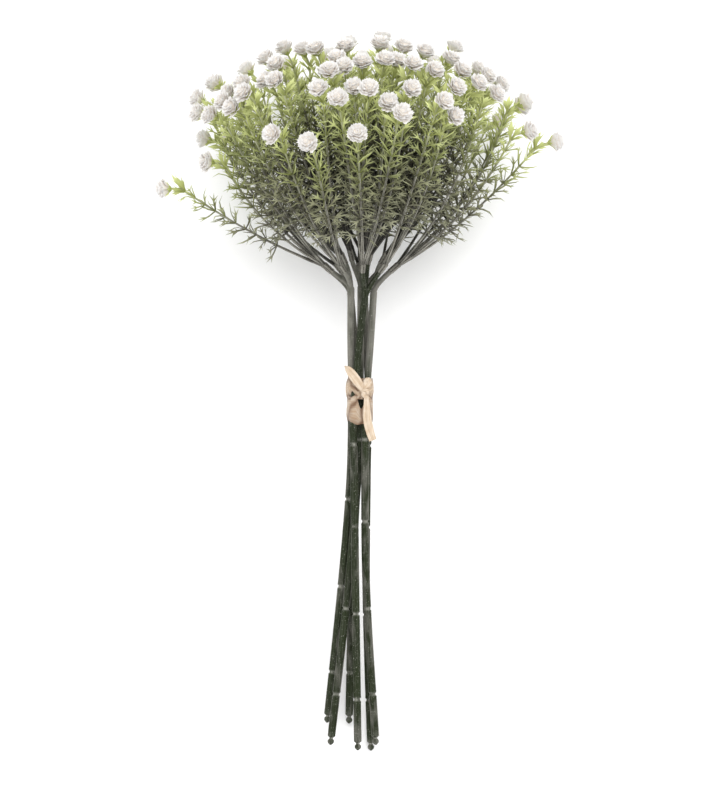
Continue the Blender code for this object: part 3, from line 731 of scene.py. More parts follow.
def take_in(bm, other):
    """Adds a finished mesh in progress to another one."""
    mesh = as_mesh(other, "part_in_progress")
    bm.from_mesh(mesh)
    bpy.data.meshes.remove(mesh)


def place_copy(bm, shape, matrix, age, shade):
    """Adds a copy of a shape, turned and moved, with its age along the branchlet and its own shade."""
    start = len(bm.verts)
    bm.from_mesh(shape)
    bm.verts.ensure_lookup_table()
    fresh = bm.verts[start:]
    bmesh.ops.transform(bm, matrix=matrix, verts=fresh)
    layer = bm.verts.layers.float_vector["growth"]
    for vert in fresh:
        vert[layer] = (age, vert[layer].y, shade)


def basis(origin, x_axis, y_axis, z_axis, scale=1.0):
    """A matrix that puts a shape drawn in millimetres at a place in metres."""
    rows = Matrix((x_axis, y_axis, z_axis)).transposed() * (MM * scale)
    return Matrix.Translation(Vector(origin) * MM) @ rows.to_4x4()


def add_piece(name, bm, surface, replaced, sharp=40.0):
    """Makes the finished mesh a piece of the bunch that stands for its solids."""
    mesh = as_mesh(bm, name)
    piece = bpy.data.objects.new(name, mesh)
    bpy.context.scene.collection.objects.link(piece)
    mesh.materials.append(surface)
    mesh.polygons.foreach_set("use_smooth", [True] * len(mesh.polygons))
    mesh.set_sharp_from_angle(angle=math.radians(sharp))
    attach(piece, "root")
    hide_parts(*replaced)


# Materials

def set_inputs(tree, node, inputs):
    """Gives a node its inputs, each a value, an output, or a node that stands for its first output."""
    for name, value in inputs.items():
        if isinstance(value, bpy.types.Node):
            value = value.outputs[0]
        if isinstance(value, bpy.types.NodeSocket):
            tree.links.new(value, node.inputs[name])
        else:
            node.inputs[name].default_value = value


def add_node(tree, kind, inputs=None, stops=(), **settings):
    """One node with its settings and inputs, and the stops of a ramp."""
    node = tree.nodes.new(kind)
    for name, value in settings.items():
        setattr(node, name, value)
    set_inputs(tree, node, inputs or {})
    for k, (place, colour) in enumerate(stops):
        if k < 2:
            point = node.color_ramp.elements[k]
            point.position = place
        else:
            point = node.color_ramp.elements.new(place)
        point.color = opaque(colour)
    return node


def blank_material(name):
    made = bpy.data.materials.new(name)
    made.use_nodes = True
    return made, made.node_tree, made.node_tree.nodes["Principled BSDF"]


def marked_material(name):
    """A material with what it reads: its piece's growth mark, whole and by its parts, and its place."""
    made, tree, shader = blank_material(name)
    mark = add_node(tree, "ShaderNodeAttribute", attribute_name="growth").outputs["Vector"]
    parts = add_node(tree, "ShaderNodeSeparateXYZ", {0: mark}).outputs
    place = add_node(tree, "ShaderNodeTexCoord").outputs["Object"]
    return made, tree, shader, {"mark": mark, "place": place, "x": parts[0], "y": parts[1], "z": parts[2]}


def foliage_material(settings):
    """Moulded polyethylene leaves, brushed with grey dust: matt, dull below and fresh at the blooms.

    The mark gives the age along the branchlet, the place along the leaf, and the tone, which is part random
    and part painted shade, darker deep inside the head."""
    made, tree, shader, read = marked_material("dusted_polyethylene_foliage")
    wood = add_node(tree, "ShaderNodeAttribute", attribute_name="wood")
    # Tint patches about 5 mm wide.
    patch = add_node(tree, "ShaderNodeTexNoise", {"Vector": read["place"], "Scale": 200.0, "Detail": 2.0})
    # Dust grains of about 0.6 mm; real dust is finer than the render can show.
    dust = add_node(tree, "ShaderNodeTexNoise", {"Vector": read["place"], "Scale": 1600.0, "Detail": 3.0})
    shift = add_node(tree, "ShaderNodeMath", {0: patch, 1: 0.3, 2: -0.15}, operation="MULTIPLY_ADD")
    # The tone, which is part painted shade, also shifts the leaf colour along the age.
    own = add_node(tree, "ShaderNodeMath", {0: read["z"], 1: 0.16, 2: -0.08}, operation="MULTIPLY_ADD")
    aged = add_node(tree, "ShaderNodeMath", {0: read["x"], 1: shift}, operation="ADD")
    age = add_node(tree, "ShaderNodeMath", {0: aged, 1: own}, operation="ADD")
    leaf = add_node(tree, "ShaderNodeValToRGB", {"Fac": age}, (
        (0.25, settings.low_leaf), (0.96, settings.top_leaf), (0.55, settings.middle_leaf),
        (0.8, settings.upper_leaf),
    ))
    tipped = add_node(tree, "ShaderNodeMath", {0: read["y"], 1: 0.5}, operation="MULTIPLY")
    pale = add_node(tree, "ShaderNodeMix", {0: tipped, 6: leaf, 7: opaque(settings.leaf_tip)},
                    data_type="RGBA")
    # Each leaf has its own tone; it is painted darker at its root, where it meets the branchlet, as shade,
    # and painted darker and greener inside the head, as shade.
    root_shade = add_node(tree, "ShaderNodeMapRange",
                      {"Value": read["y"], "From Max": 0.75, "To Min": 0.45, "To Max": 1.05})
    varied_and_shaded = add_node(tree, "ShaderNodeMapRange", {"Value": read["z"], "To Min": 0.03, "To Max": 1.36})
    value = add_node(tree, "ShaderNodeMath", {0: root_shade, 1: varied_and_shaded}, operation="MULTIPLY")
    # Painted shade: more saturated deep inside the head.
    depth = add_node(tree, "ShaderNodeMapRange", {"Value": read["z"], "To Min": 1.35, "To Max": 1.0})
    toned = add_node(tree, "ShaderNodeHueSaturation",
                     {"Color": pale.outputs[2], "Value": value, "Saturation": depth})
    bark = add_node(tree, "ShaderNodeValToRGB", {"Fac": age}, (
        (0.0, settings.sleeve), (0.95, settings.upper_leaf), (0.14, settings.low_bark),
        (0.6, settings.bark),
    ))
    # The dust stays on the moulded edges of the branchlets.
    edges = add_node(tree, "ShaderNodeMapRange",
                     {"Value": read["y"], "From Min": 0.2, "From Max": 1.0, "To Max": 1.3})
    worn = add_node(tree, "ShaderNodeMath", {0: edges, 1: patch}, operation="MULTIPLY")
    edged = add_node(tree, "ShaderNodeMix", {0: worn, 6: bark, 7: opaque(settings.dust)}, data_type="RGBA")
    # The branchlets are painted darker inside the head too, as shade.
    limb = add_node(tree, "ShaderNodeHueSaturation", {"Color": edged.outputs[2], "Value": varied_and_shaded})
    body = add_node(tree, "ShaderNodeMix", {0: wood.outputs["Fac"], 6: toned, 7: limb}, data_type="RGBA")
    # Grains lie on what is low on a branchlet and far out in the head.
    grains = add_node(tree, "ShaderNodeMapRange", {"Value": dust, "From Min": 0.46, "From Max": 0.72})
    lower = add_node(tree, "ShaderNodeMapRange",
                     {"Value": read["x"], "From Min": 0.1, "From Max": 0.8, "To Min": 0.9, "To Max": 0.0})
    outside = add_node(tree, "ShaderNodeMath", {0: lower, 1: read["z"]}, operation="MULTIPLY")
    share = add_node(tree, "ShaderNodeMath", {0: grains, 1: outside}, operation="MULTIPLY")
    dusted = add_node(tree, "ShaderNodeMix", {0: share, 6: body.outputs[2], 7: opaque(settings.dust)},
                      data_type="RGBA")
    rough = add_node(tree, "ShaderNodeMapRange", {"Value": dust, "To Min": 0.45, "To Max": 0.75})
    relief = add_node(tree, "ShaderNodeBump", {"Strength": 0.35, "Distance": 0.0002, "Height": dust})
    set_inputs(tree, shader, {
        "Base Color": dusted.outputs[2], "Roughness": rough, "Normal": relief,
        "IOR": POLYETHYLENE_IOR, "Specular IOR Level": 0.08,
    })
    return made


def petal_material(settings):
    """Thin moulded polyethylene petals: soft white, a little light passing through, warmer at the root and
    darker towards it, as painted shade between the overlapping rings.

    The mark's y is the place along the petal."""
    made, tree, shader, read = marked_material("thin_white_polyethylene_petals")
    # Mottling of about 0.5 mm for the moulded veins, which are too fine to show.
    vein = add_node(tree, "ShaderNodeTexNoise", {"Vector": read["place"], "Scale": 1900.0, "Detail": 1.0})
    height = add_node(tree, "ShaderNodeMath", {0: vein, 1: 0.2, 2: read["y"]}, operation="MULTIPLY_ADD")
    # Darker from the rim to the root: painted shade where the rings of petals overlap, with a warmer tint.
    tint = add_node(tree, "ShaderNodeValToRGB", {"Fac": height}, (
        (0.3, settings.shaded_petal_root), (0.98, settings.petal), (0.66, settings.petal_middle),
    ))
    relief = add_node(tree, "ShaderNodeBump", {"Strength": 0.3, "Distance": 0.0002, "Height": vein})
    set_inputs(tree, shader, {
        "Base Color": tint, "Roughness": 0.6, "Normal": relief,
        "IOR": POLYETHYLENE_IOR, "Specular IOR Level": 0.24,
        "Subsurface Weight": 0.25, "Subsurface Scale": 0.0015, "Subsurface Radius": (1.0, 0.9, 0.8),
    })
    return made


def stem_material(settings):
    """Dark green moulded polyethylene over wire, brushed with pale dust that stays in long patches.

    The mark's y is how worn an edge is, and its z how dusty the stem is there, with a painted highlight on
    its flanks."""
    made, tree, shader, read = marked_material("dusted_polyethylene_stem")
    stretch = add_node(tree, "ShaderNodeMapping", {"Vector": read["place"], "Scale": (1.0, 0.16, 1.0)})
    # Brushed streaks about 1.4 mm wide and 9 mm long.
    streak = add_node(tree, "ShaderNodeTexNoise",
                      {"Vector": stretch, "Scale": 700.0, "Detail": 2.0, "Roughness": 0.55})
    # Larger dusted areas, about 4.5 mm wide and 28 mm long.
    area = add_node(tree, "ShaderNodeTexNoise", {"Vector": stretch, "Scale": 220.0, "Detail": 2.0})
    # Specks of dust of about 0.7 mm; real ones are finer than the render can show.
    speck = add_node(tree, "ShaderNodeTexNoise", {"Vector": read["place"], "Scale": 1500.0, "Detail": 2.0})
    both = add_node(tree, "ShaderNodeMath", {0: streak, 1: 0.3, 2: area}, operation="MULTIPLY_ADD")
    cover = add_node(tree, "ShaderNodeMath", {0: both, 1: read["z"]}, operation="ADD")
    dusty = add_node(tree, "ShaderNodeMapRange",
                     {"Value": cover, "From Min": 0.45, "From Max": 0.95, "To Max": 0.9})
    base = add_node(tree, "ShaderNodeMix", {0: area, 6: opaque(settings.green), 7: opaque(settings.deep)},
                    data_type="RGBA")
    powdered = add_node(tree, "ShaderNodeMix", {0: dusty, 6: base.outputs[2], 7: opaque(settings.dust)},
                        data_type="RGBA")
    grains = add_node(tree, "ShaderNodeMapRange",
                      {"Value": speck, "From Min": 0.62, "From Max": 0.74, "To Max": 0.5})
    # The streaks break up the pale worn edges.
    broken = add_node(tree, "ShaderNodeMapRange",
                      {"Value": streak, "From Min": 0.42, "From Max": 0.6, "To Min": 0.35})
    worn = add_node(tree, "ShaderNodeMath", {0: broken, 1: read["y"]}, operation="MULTIPLY")
    rim = add_node(tree, "ShaderNodeMath", {0: grains, 1: worn}, operation="MAXIMUM")
    finished = add_node(tree, "ShaderNodeMix", {0: rim, 6: powdered.outputs[2], 7: opaque(settings.rim)},
                        data_type="RGBA")
    rough = add_node(tree, "ShaderNodeMapRange", {"Value": dusty, "To Min": 0.38, "To Max": 0.8})
    relief = add_node(tree, "ShaderNodeBump", {"Strength": 0.25, "Distance": 0.0003, "Height": streak})
    set_inputs(tree, shader, {
        "Base Color": finished.outputs[2], "Roughness": rough, "Normal": relief,
        "IOR": POLYETHYLENE_IOR, "Specular IOR Level": 0.08,
    })
    return made


def raffia_material(settings):
    """Dried palm raffia: matt straw fibres along the ribbon, with painted shade in its folds.

    The mark's x and y are millimetres across and along the ribbon, and its z how much painted shade lies
    there, more in deeper folds."""
    made, tree, shader, read = marked_material("dried_raffia_ribbon")
    # Fibres about 0.5 mm wide and 15 mm long.
    stretch = add_node(tree, "ShaderNodeMapping", {"Vector": read["mark"], "Scale": (2.0, 0.07, 1.0)})
    fibre = add_node(tree, "ShaderNodeTexNoise",
                     {"Vector": stretch, "Scale": 1.0, "Detail": 3.0, "Roughness": 0.6})
    # Paler and darker blotches of about 4 mm.
    blotch = add_node(tree, "ShaderNodeTexNoise", {"Vector": read["place"], "Scale": 260.0, "Detail": 2.0})
    tone = add_node(tree, "ShaderNodeMath", {0: blotch, 1: 0.5, 2: fibre}, operation="MULTIPLY_ADD")
    straw = add_node(tree, "ShaderNodeValToRGB", {"Fac": tone}, (
        (0.45, settings.shade), (0.95, settings.light), (0.7, settings.straw),
    ))
    # Painted shade: the fold colour, by the mark's z.
    folded = add_node(tree, "ShaderNodeMix", {0: read["z"], 6: straw, 7: opaque(settings.fold)},
                      data_type="RGBA")
    rough = add_node(tree, "ShaderNodeMapRange", {"Value": fibre, "To Min": 0.6, "To Max": 0.85})
    relief = add_node(tree, "ShaderNodeBump", {"Strength": 0.5, "Distance": 0.0003, "Height": fibre})
    set_inputs(tree, shader, {
        "Base Color": folded.outputs[2], "Roughness": rough, "Normal": relief,
        "IOR": RAFFIA_IOR, "Specular IOR Level": 0.2, "Sheen Weight": 0.15,
    })
    return made


# Leaves

# Kinds of leaf, drawn LEAF_DRAWN long: rows of (length, half width, half thickness, share of the lift), the
# tip's x and share of the lift, the teeth's length and share of the lift, and the row that carries them.
LEAF_DRAWN = 10.0
LEAF_KINDS = {
    "needle": (((0.0, 0.27, 0.2, 0.0), (3.0, 0.3, 0.19, 0.7), (6.8, 0.27, 0.16, 1.0)), (0.0, 0.3), None, 0),
    "fork": (((0.0, 0.28, 0.2, 0.0), (3.4, 0.3, 0.19, 1.0), (5.3, 0.36, 0.18, 1.2), (6.4, 0.34, 0.16, 1.0)),
             (0.2, 0.3), (8.6, 0.7), 3),
    "broad": (((0.0, 0.4, 0.2, 0.0), (3.2, 0.6, 0.2, 1.0), (6.0, 0.95, 0.18, 1.3), (7.8, 0.6, 0.15, 1.0)),
              (0.0, 0.2), (9.0, 1.0), 2),
}
# The shapes drawn of each kind: lift and, where it has teeth, how far they reach sideways.
LEAF_SHAPES = {
    "needle": ((0.5, 0.0), (1.6, 0.0), (-1.3, 0.0), (2.3, 0.0)),
    "fork": ((0.3, 2.5), (1.2, 3.1), (-1.0, 2.2), (0.6, 2.8), (1.8, 2.4)),
    "broad": ((0.9, 2.4), (0.3, 2.1), (1.3, 1.9)),
}
# How far a leaf rolls on its length, and what share of its tone comes from its place in the head, as painted
# shade.
LEAF_ROLL = 1.2
SHADE_BY_PLACE = 0.64


def leaf_shape(rows, tip, teeth, tooth_row):
    """A closed blade along +Y in millimetres; teeth on both sides of one row make it a forked leaf."""
    bm, layer = new_mesh()
    made = bmesh.ops.create_circle(bm, cap_ends=True, segments=4, radius=1.0)
    face = made["verts"][0].link_faces[0]
    for k, (at, wide, thick, lift) in enumerate(rows):
        corners = ((wide, thick), (-wide, thick), (-wide, -thick), (wide, -thick))
        ring = [(sideways, at, lift + up) for sideways, up in corners]
        if k == 0:
            set_ring(face, ring, 1.0)
            continue
        face, sides = grow(bm, face, ring, 1.0)
        if teeth and k == tooth_row:
            for side in (sides[1], sides[3]):
                hand = 1.0 if side.calc_center_median().x > 0.0 else -1.0
                made = bmesh.ops.poke(bm, faces=[side])
                made["verts"][0].co = Vector((hand * teeth[0], teeth[1], teeth[2]))
    made = bmesh.ops.poke(bm, faces=[face])
    made["verts"][0].co = Vector(tip)
    for vert in bm.verts:
        vert[layer] = (0.0, clamp(vert.co.y / tip[1]), 0.0)
    bmesh.ops.recalc_face_normals(bm, faces=bm.faces)
    return as_mesh(bm, "leaf_shape")


def leaf_kit():
    """Needles, forked leaves and the wider leaves below a bloom."""
    kit = {}
    for kind, (rows, tip, teeth, tooth_row) in LEAF_KINDS.items():
        kit[kind] = []
        for lift, spread in LEAF_SHAPES[kind]:
            blade = [(at, wide, thick, lift * share) for at, wide, thick, share in rows]
            point = (tip[0], LEAF_DRAWN, lift * tip[1])
            drawn_out = (spread, teeth[0], lift * teeth[1]) if teeth else None
            kit[kind].append(leaf_shape(blade, point, drawn_out, tooth_row))
    return kit


def set_leaf(bm, shape, point, tip, direction, radius, age, rng):
    """Puts a leaf with its root in the branchlet and its tip at a place, turned at random on its length."""
    heading = unit(tip - point)
    facing = unit(direction - heading * float(direction @ heading))
    facing = turned(facing, np.cross(heading, facing), rng.uniform(-LEAF_ROLL, LEAF_ROLL))
    side = np.cross(heading, facing)
    root = point + (heading - direction * float(heading @ direction)) * radius * 0.5
    length = float(np.linalg.norm(tip - root))
    # The tone is part random and part painted shade by the leaf's place in the head.
    tone = SHADE_BY_PLACE * light_exposure(tip) + (1.0 - SHADE_BY_PLACE) * rng.random()
    place_copy(bm, shape, basis(root, side, heading, facing, length / LEAF_DRAWN), age, tone)


def extra_tips(crowd, owner, point, direction, length, lean, turns, rng):
    """Further leaf tips round a whorl that stay out of the other branchlets and blooms."""
    side = across(direction)
    other = np.cross(direction, side)
    found = []
    for turn in turns:
        spoke = turned(side, other, turn + rng.uniform(-0.35, 0.35))
        angle = lean + rng.uniform(-20.0, 20.0)
        for share in (1.0, 0.7):
            tip = leaf_tip(point, direction, spoke, length * share * rng.uniform(0.7, 1.2), angle)
            if crowd.room(owner, point, tip, LEAF_HALF) > LEAF_ROOM:
                found.append(tip)
                break
    return found


def whorl_tips(branch, step, age, crowd, point, direction, rng):
    """All leaf tips of one whorl: those of the solids first, then the leaves between them."""
    length = LEAF_LENGTH * 1.15
    lean = HUB_LEAN + (BLOOM_LEAN - HUB_LEAN) * age
    whorl = branch["whorls"].get(step // 2) if step % 2 == 0 else None
    kept = []
    if whorl:
        kept = [tip for tip in whorl[1] if tip is not None]
        turns = [whorl[0] + math.radians(45.0 + 90.0 * n) for n in range(4)]
    else:
        start = rng.uniform(0.0, math.tau)
        turns = [start + math.tau * n / 6.0 for n in range(6)]
    if age * line_length(branch["line"]) < SPARSE_LENGTH:
        return kept
    return kept + extra_tips(crowd, branch["number"], point, direction, length, lean, turns, rng)


# A branchlet's tube: the length of a step, its thinnest radius, how much thicker it starts and how soon that
# is gone, how much thicker it is at a whorl and over what length, and its tone inside the head, painted dark
# as shade, and what the lit outside adds to it.
BRANCHLET_STEP = 2.1
BRANCHLET_RADIUS = 0.52
BRANCHLET_START, BRANCHLET_TAPER = 0.6, 4.5
WHORL_SWELL, WHORL_SWELL_LENGTH = 0.18, 1.2
INNER_SHADE_TONE, OUTER_LIGHT_TONE = 0.15, 0.65
# The calyx cup and the sleeve: distance along the axis and radius.
CALYX_PROFILE = ((-0.3, 0.6), (0.3, 0.85), (0.9, 1.3), (1.6, 1.9), (2.3, 2.4), (2.8, 2.2))
SLEEVE_PROFILE = (
    (-5.2, 1.35), (-5.1, 1.55), (-4.5, 1.66), (-3.8, 1.52), (-3.0, 1.58), (-2.0, 1.64), (-1.0, 1.56),
    (0.0, 1.6), (0.9, 1.7), (1.7, 1.35), (2.3, 0.7),
)
CALYX_MARK = (0.98, 0.4, 0.7)
SLEEVE_MARK = (0.0, 0.0, 0.6)
# A sepal's root and tip: radius and height; and the least height of its tip.
SEPAL_ROOT = (0.8, 0.3)
SEPAL_TIP = (4.6, 3.4)
SEPAL_FLOOR = 0.3


def leafy_steps(length):
    """The half steps between whorls that carry leaves, counted back from the bloom."""
    return range(int((length - BARE_LENGTH - WHORL_FROM_BLOOM) / (WHORL_STEP * 0.5)) + 1)


def branchlet(branch):
    """A branchlet's tube, a little thicker at each whorl, with its age from the hub to the bloom."""
    line = branch["line"]
    length = line_length(line)
    steps = int(length / BRANCHLET_STEP)
    points = [place_on(line, length * (1.0 - k / steps))[0] for k in range(steps + 1)]
    points[-1] = line[-1]
    radii = []
    marks = []
    for k in range(steps + 1):
        back = length * (1.0 - k / steps) - WHORL_FROM_BLOOM
        off = abs((back / WHORL_STEP + 0.5) % 1.0 - 0.5) * WHORL_STEP
        swell = WHORL_SWELL * math.exp(-(off / WHORL_SWELL_LENGTH) ** 2)
        start = BRANCHLET_START * math.exp(-BRANCHLET_TAPER * k / steps)
        radii.append(BRANCHLET_RADIUS + start + swell)
        # The tone is painted shade: dark deep inside the head, lighter at its outside.
        marks.append((k / steps, 0.0, INNER_SHADE_TONE + OUTER_LIGHT_TONE * light_exposure(points[k])))
    return tube(points, radii, flat_ring(4, 0.3), marks, 1.0)


def calyx(branch, kit, bm, rng):
    """The green cup under a bloom, and its five sepals."""
    foot = branch["line"][-1]
    axis = branch["axis"]
    points = [foot + axis * at for at, _ in CALYX_PROFILE]
    radii = [radius for _, radius in CALYX_PROFILE]
    take_in(bm, tube(points, radii, round_ring(8), [CALYX_MARK] * len(radii)))
    start = rng.uniform(0.0, 1.2)
    for n in range(5):
        turn = start + math.tau * n / 5.0
        root = bloom_point(foot, axis, branch["side"], *SEPAL_ROOT, turn)
        height = SEPAL_TIP[1] + rng.uniform(-0.8, 0.6)
        tip = bloom_point(foot, axis, branch["side"], SEPAL_TIP[0], height, turn)
        tip[2] = max(tip[2], SEPAL_FLOOR)
        set_leaf(bm, kit["broad"][1], root, tip, axis, 0.0, 0.95, rng)


def sleeve(cluster):
    """The plug-on sleeve of a cluster, from its lip over the prong to the knuckle of the branchlets."""
    hub = cluster["hub"]
    points = [world(hub + cluster["direction"] * at) for at, _ in SLEEVE_PROFILE]
    radii = [radius for _, radius in SLEEVE_PROFILE]
    return tube(points, radii, flat_ring(5, 0.2), [SLEEVE_MARK] * len(radii), 0.9)


def branch_leaves(branch, crowd, kit, rng):
    """All leaves of one branchlet, with its calyx."""
    bm, _ = new_mesh()
    length = line_length(branch["line"])
    for step in leafy_steps(length):
        back = WHORL_FROM_BLOOM + step * WHORL_STEP * 0.5
        point, direction = place_on(branch["line"], back)
        age = 1.0 - back / length
        for tip in whorl_tips(branch, step, age, crowd, point, direction, rng):
            kind = "broad" if step == 0 else rng.choice(("needle", "fork", "fork"))
            set_leaf(bm, rng.choice(kit[kind]), point, tip, direction, 0.6, age, rng)
    calyx(branch, kit, bm, rng)
    return bm


def foliage_mesh(cluster, crowd, kit, rng):
    """A cluster without its blooms; its wood layer is 1 on the sleeve and branchlets and 0 on the leaves."""
    bm, _ = new_mesh()
    bm.verts.layers.float.new("wood")
    take_in(bm, sleeve(cluster))
    for branch in cluster["branches"]:
        take_in(bm, branchlet(branch))
    wood = bm.verts.layers.float["wood"]
    for vert in bm.verts:
        vert[wood] = 1.0
    for branch in cluster["branches"]:
        take_in(bm, branch_leaves(branch, crowd, kit, rng))
    keep_above(bm, 0.0001)
    return bm


# Blooms

# Petal rings: count, root radius, root height, tip radius, tip height, width, curl.
PETAL_RINGS = (
    (14, 1.9, 2.0, 5.7, 5.9, 1.25, 0.5),
    (14, 1.7, 2.8, 5.3, 7.3, 1.15, 0.5),
    (13, 1.4, 3.6, 4.6, 8.4, 1.05, 0.5),
    (11, 1.0, 4.3, 3.6, 9.1, 0.95, 0.45),
    (8, 0.6, 4.8, 2.4, 9.5, 0.85, 0.35),
    (5, 0.3, 5.0, 1.2, 9.6, 0.7, 0.2),
)
PETAL_ROOT_HALF = 0.42
PETAL_CUP = -0.3
PETAL_TEETH = 0.8
PETAL_THICKNESS = 0.2
# The solid heart that closes a bloom: its radius, half height and middle.
HEART_RADIUS, HEART_HALF, HEART_MIDDLE = 2.8, 3.0, 5.3


def petal_shape(length, wide, curl):
    """One thin cupped petal along +Y with a toothed rim; curl bends its tip."""
    bm, layer = new_mesh()
    bmesh.ops.create_grid(bm, x_segments=4, y_segments=3, size=1.0)
    for vert in bm.verts:
        x = vert.co.x
        t = vert.co.y * 0.5 + 0.5
        half = PETAL_ROOT_HALF + (wide - PETAL_ROOT_HALF) * math.sin(min(t * 1.35, 1.0) * math.pi / 2.0)
        notch = 0.0
        if t > 0.99:
            half *= 0.86
            notch = PETAL_TEETH * (0.5 - 0.5 * math.cos(x * math.tau))
        rim = 0.5 * x * x * t * t
        vert.co = Vector((x * half, t * length - notch - rim, PETAL_CUP * x * x * t + curl * t * t))
        vert[layer] = (0.0, t, 0.0)
    bmesh.ops.solidify(bm, geom=bm.faces[:], thickness=PETAL_THICKNESS)
    bmesh.ops.recalc_face_normals(bm, faces=bm.faces)
    return as_mesh(bm, "petal_shape")


def bloom_shape(seed):
    """A double bloom on its axis +Z in millimetres: rings of cupped petals over a solid heart."""
    rng = random.Random(seed)
    bm, _ = new_mesh()
    for count, low_radius, low, high_radius, high, wide, curl in PETAL_RINGS:
        start = rng.uniform(0.0, math.tau)
        reach = math.hypot(high_radius - low_radius, high - low)
        petal = petal_shape(reach, wide, curl)
        for n in range(count):
            turn = start + math.tau * (n + rng.uniform(-0.2, 0.2)) / count
            lean = math.atan2(high_radius - low_radius, high - low) + rng.uniform(-0.2, 0.2)
            outward = Vector((math.cos(turn), math.sin(turn), 0.0))
            side = Vector((-math.sin(turn), math.cos(turn), 0.0))
            heading = outward * math.sin(lean) + Vector((0.0, 0.0, math.cos(lean)))
            side = (side + heading.cross(side) * rng.uniform(-0.3, 0.3)).normalized()
            size = rng.uniform(0.86, 1.05)
            root = outward * low_radius + Vector((0.0, 0.0, low + rng.uniform(-0.45, 0.25)))
            rows = Matrix((side, heading, side.cross(heading))).transposed() * size
            place_copy(bm, petal, Matrix.Translation(root) @ rows.to_4x4(), 0.0, 0.0)
        bpy.data.meshes.remove(petal)
    heart = bmesh.ops.create_icosphere(bm, subdivisions=2, radius=1.0)
    layer = bm.verts.layers.float_vector["growth"]
    for vert in heart["verts"]:
        x, y, z = vert.co
        vert.co = Vector((x * HEART_RADIUS, y * HEART_RADIUS, HEART_MIDDLE + z * HEART_HALF))
        vert[layer] = (0.0, 0.25, 0.0)
    return as_mesh(bm, "bloom_shape")


def blooms_mesh(cluster, shapes, rng):
    bm, _ = new_mesh()
    for branch in cluster["branches"]:
        axis = branch["axis"]
        side = branch["side"]
        spun = turned(side, np.cross(axis, side), rng.uniform(0.0, math.tau))
        matrix = basis(branch["line"][-1], spun, np.cross(axis, spun), axis)
        place_copy(bm, rng.choice(shapes), matrix, 1.0, rng.random())
    keep_above(bm, 0.00002)
    return bm


# Stems

# The ball and neck at a stem's cut end: height above the foot and radius.
FOOT_PROFILE = (
    (0.0, 0.3), (0.25, 0.62), (0.7, 1.2), (1.2, 1.62), (1.75, 1.82), (2.3, 1.85), (2.8, 1.66), (3.2, 1.3),
    (3.6, 1.02), (4.0, 1.02), (4.4, 1.45), (4.75, 1.95), (5.1, 2.18),
)
# A notch ring: distance from its middle, change of radius, and how pale its edge is.
NOTCH_PROFILE = (
    (-2.2, 0.0, 0.0), (-1.5, 0.06, 0.0), (-0.95, -0.06, 0.15), (-0.45, -0.5, 0.45), (0.0, -0.58, 0.45),
    (0.45, -0.5, 0.45), (0.95, -0.06, 0.15), (1.5, 0.06, 0.0), (2.2, 0.0, 0.0),
)
# How dusty each stem is, below the tie and at its top, and the height and length over which that changes.
STEM_DUST = ((-0.28, -0.44), (-0.2, 0.26), (-0.24, 0.12), (-0.18, 0.12), (-0.2, 0.22), (-0.26, 0.12))
DUST_CHANGE_V, DUST_CHANGE_LENGTH = 195.0, 30.0
# Where a stem starts to taper to its top radius, and over what length.
TAPER_V, TAPER_LENGTH = 185.0, 20.0
RING_STEP = 4.0
PRONG_STEPS = 8


def stem_profile(stem):
    """Heights, radii and edge paleness along one stem, from its foot to its rounded top."""
    foot, top = stem[0], stem[1]
    rows = [(foot + at, radius, 0.55 if 3.4 < at < 4.2 else 0.1) for at, radius in FOOT_PROFILE]
    for height in NOTCH_HEIGHTS:
        for at, change, pale in NOTCH_PROFILE:
            rows.append((foot + height + at, STEM_RADIUS + change, pale))
    v = foot + 8.0
    while v < top - RING_STEP:
        if all(abs(v - foot - height) > 2.6 for height in NOTCH_HEIGHTS):
            share = clamp((v - TAPER_V) / TAPER_LENGTH)
            rows.append((v, STEM_RADIUS + (STEM_TOP_RADIUS - STEM_RADIUS) * share, 0.0))
        v += RING_STEP
    rows += [(top - 1.4, STEM_TOP_RADIUS, 0.0), (top - 0.5, 1.75, 0.0), (top, 1.2, 0.0)]
    return sorted(rows)


def stem_mesh(number, stem, clusters):
    """One stem with eight flat sides, and its prongs; the sides that face down are paler, with more dust and
    a painted highlight.
    """
    low_dust, top_dust = STEM_DUST[number]
    rows = stem_profile(stem)
    points = [world(stem_point(stem, v)) for v, _, _ in rows]
    marks = []
    for v, _, pale in rows:
        share = clamp((v - DUST_CHANGE_V) / DUST_CHANGE_LENGTH)
        marks.append((0.0, pale, low_dust * (1.0 - share) + top_dust * share))
    # The flanks are paler: more dust and a painted highlight.
    bm = tube(points, [radius for _, radius, _ in rows], flat_ring(8, 0.13), marks, 0.06, 0.34)
    for cluster in clusters:
        if cluster["stem"] == number:
            path = [world(point) for point in prong_line(stem, cluster, PRONG_STEPS)]
            radii = [PRONG_RADIUS + 0.2 + 0.25 * (1.0 - k / PRONG_STEPS) for k in range(PRONG_STEPS + 1)]
            marks = [(0.0, 0.0, top_dust)] * len(path)
            # The prongs' flanks are paler too: more dust and a painted highlight.
            take_in(bm, tube(path, radii, flat_ring(5, 0.2), marks, 0.1, 0.15))
    keep_above(bm, 0.0)
    return bm


# Raffia

# The knot's place: its angle from the front, height, and distance from the tie's centre.
KNOT_ANGLE = 8.0
KNOT_V = 197.0
KNOT_RADIUS = 8.0
RADIAN = 57.3
BAND_STEPS = 120
BAND_ROWS = 12
TAIL_STEPS = 36
TAIL_COLUMNS = 10
RIBBON_THICKNESS = 0.35
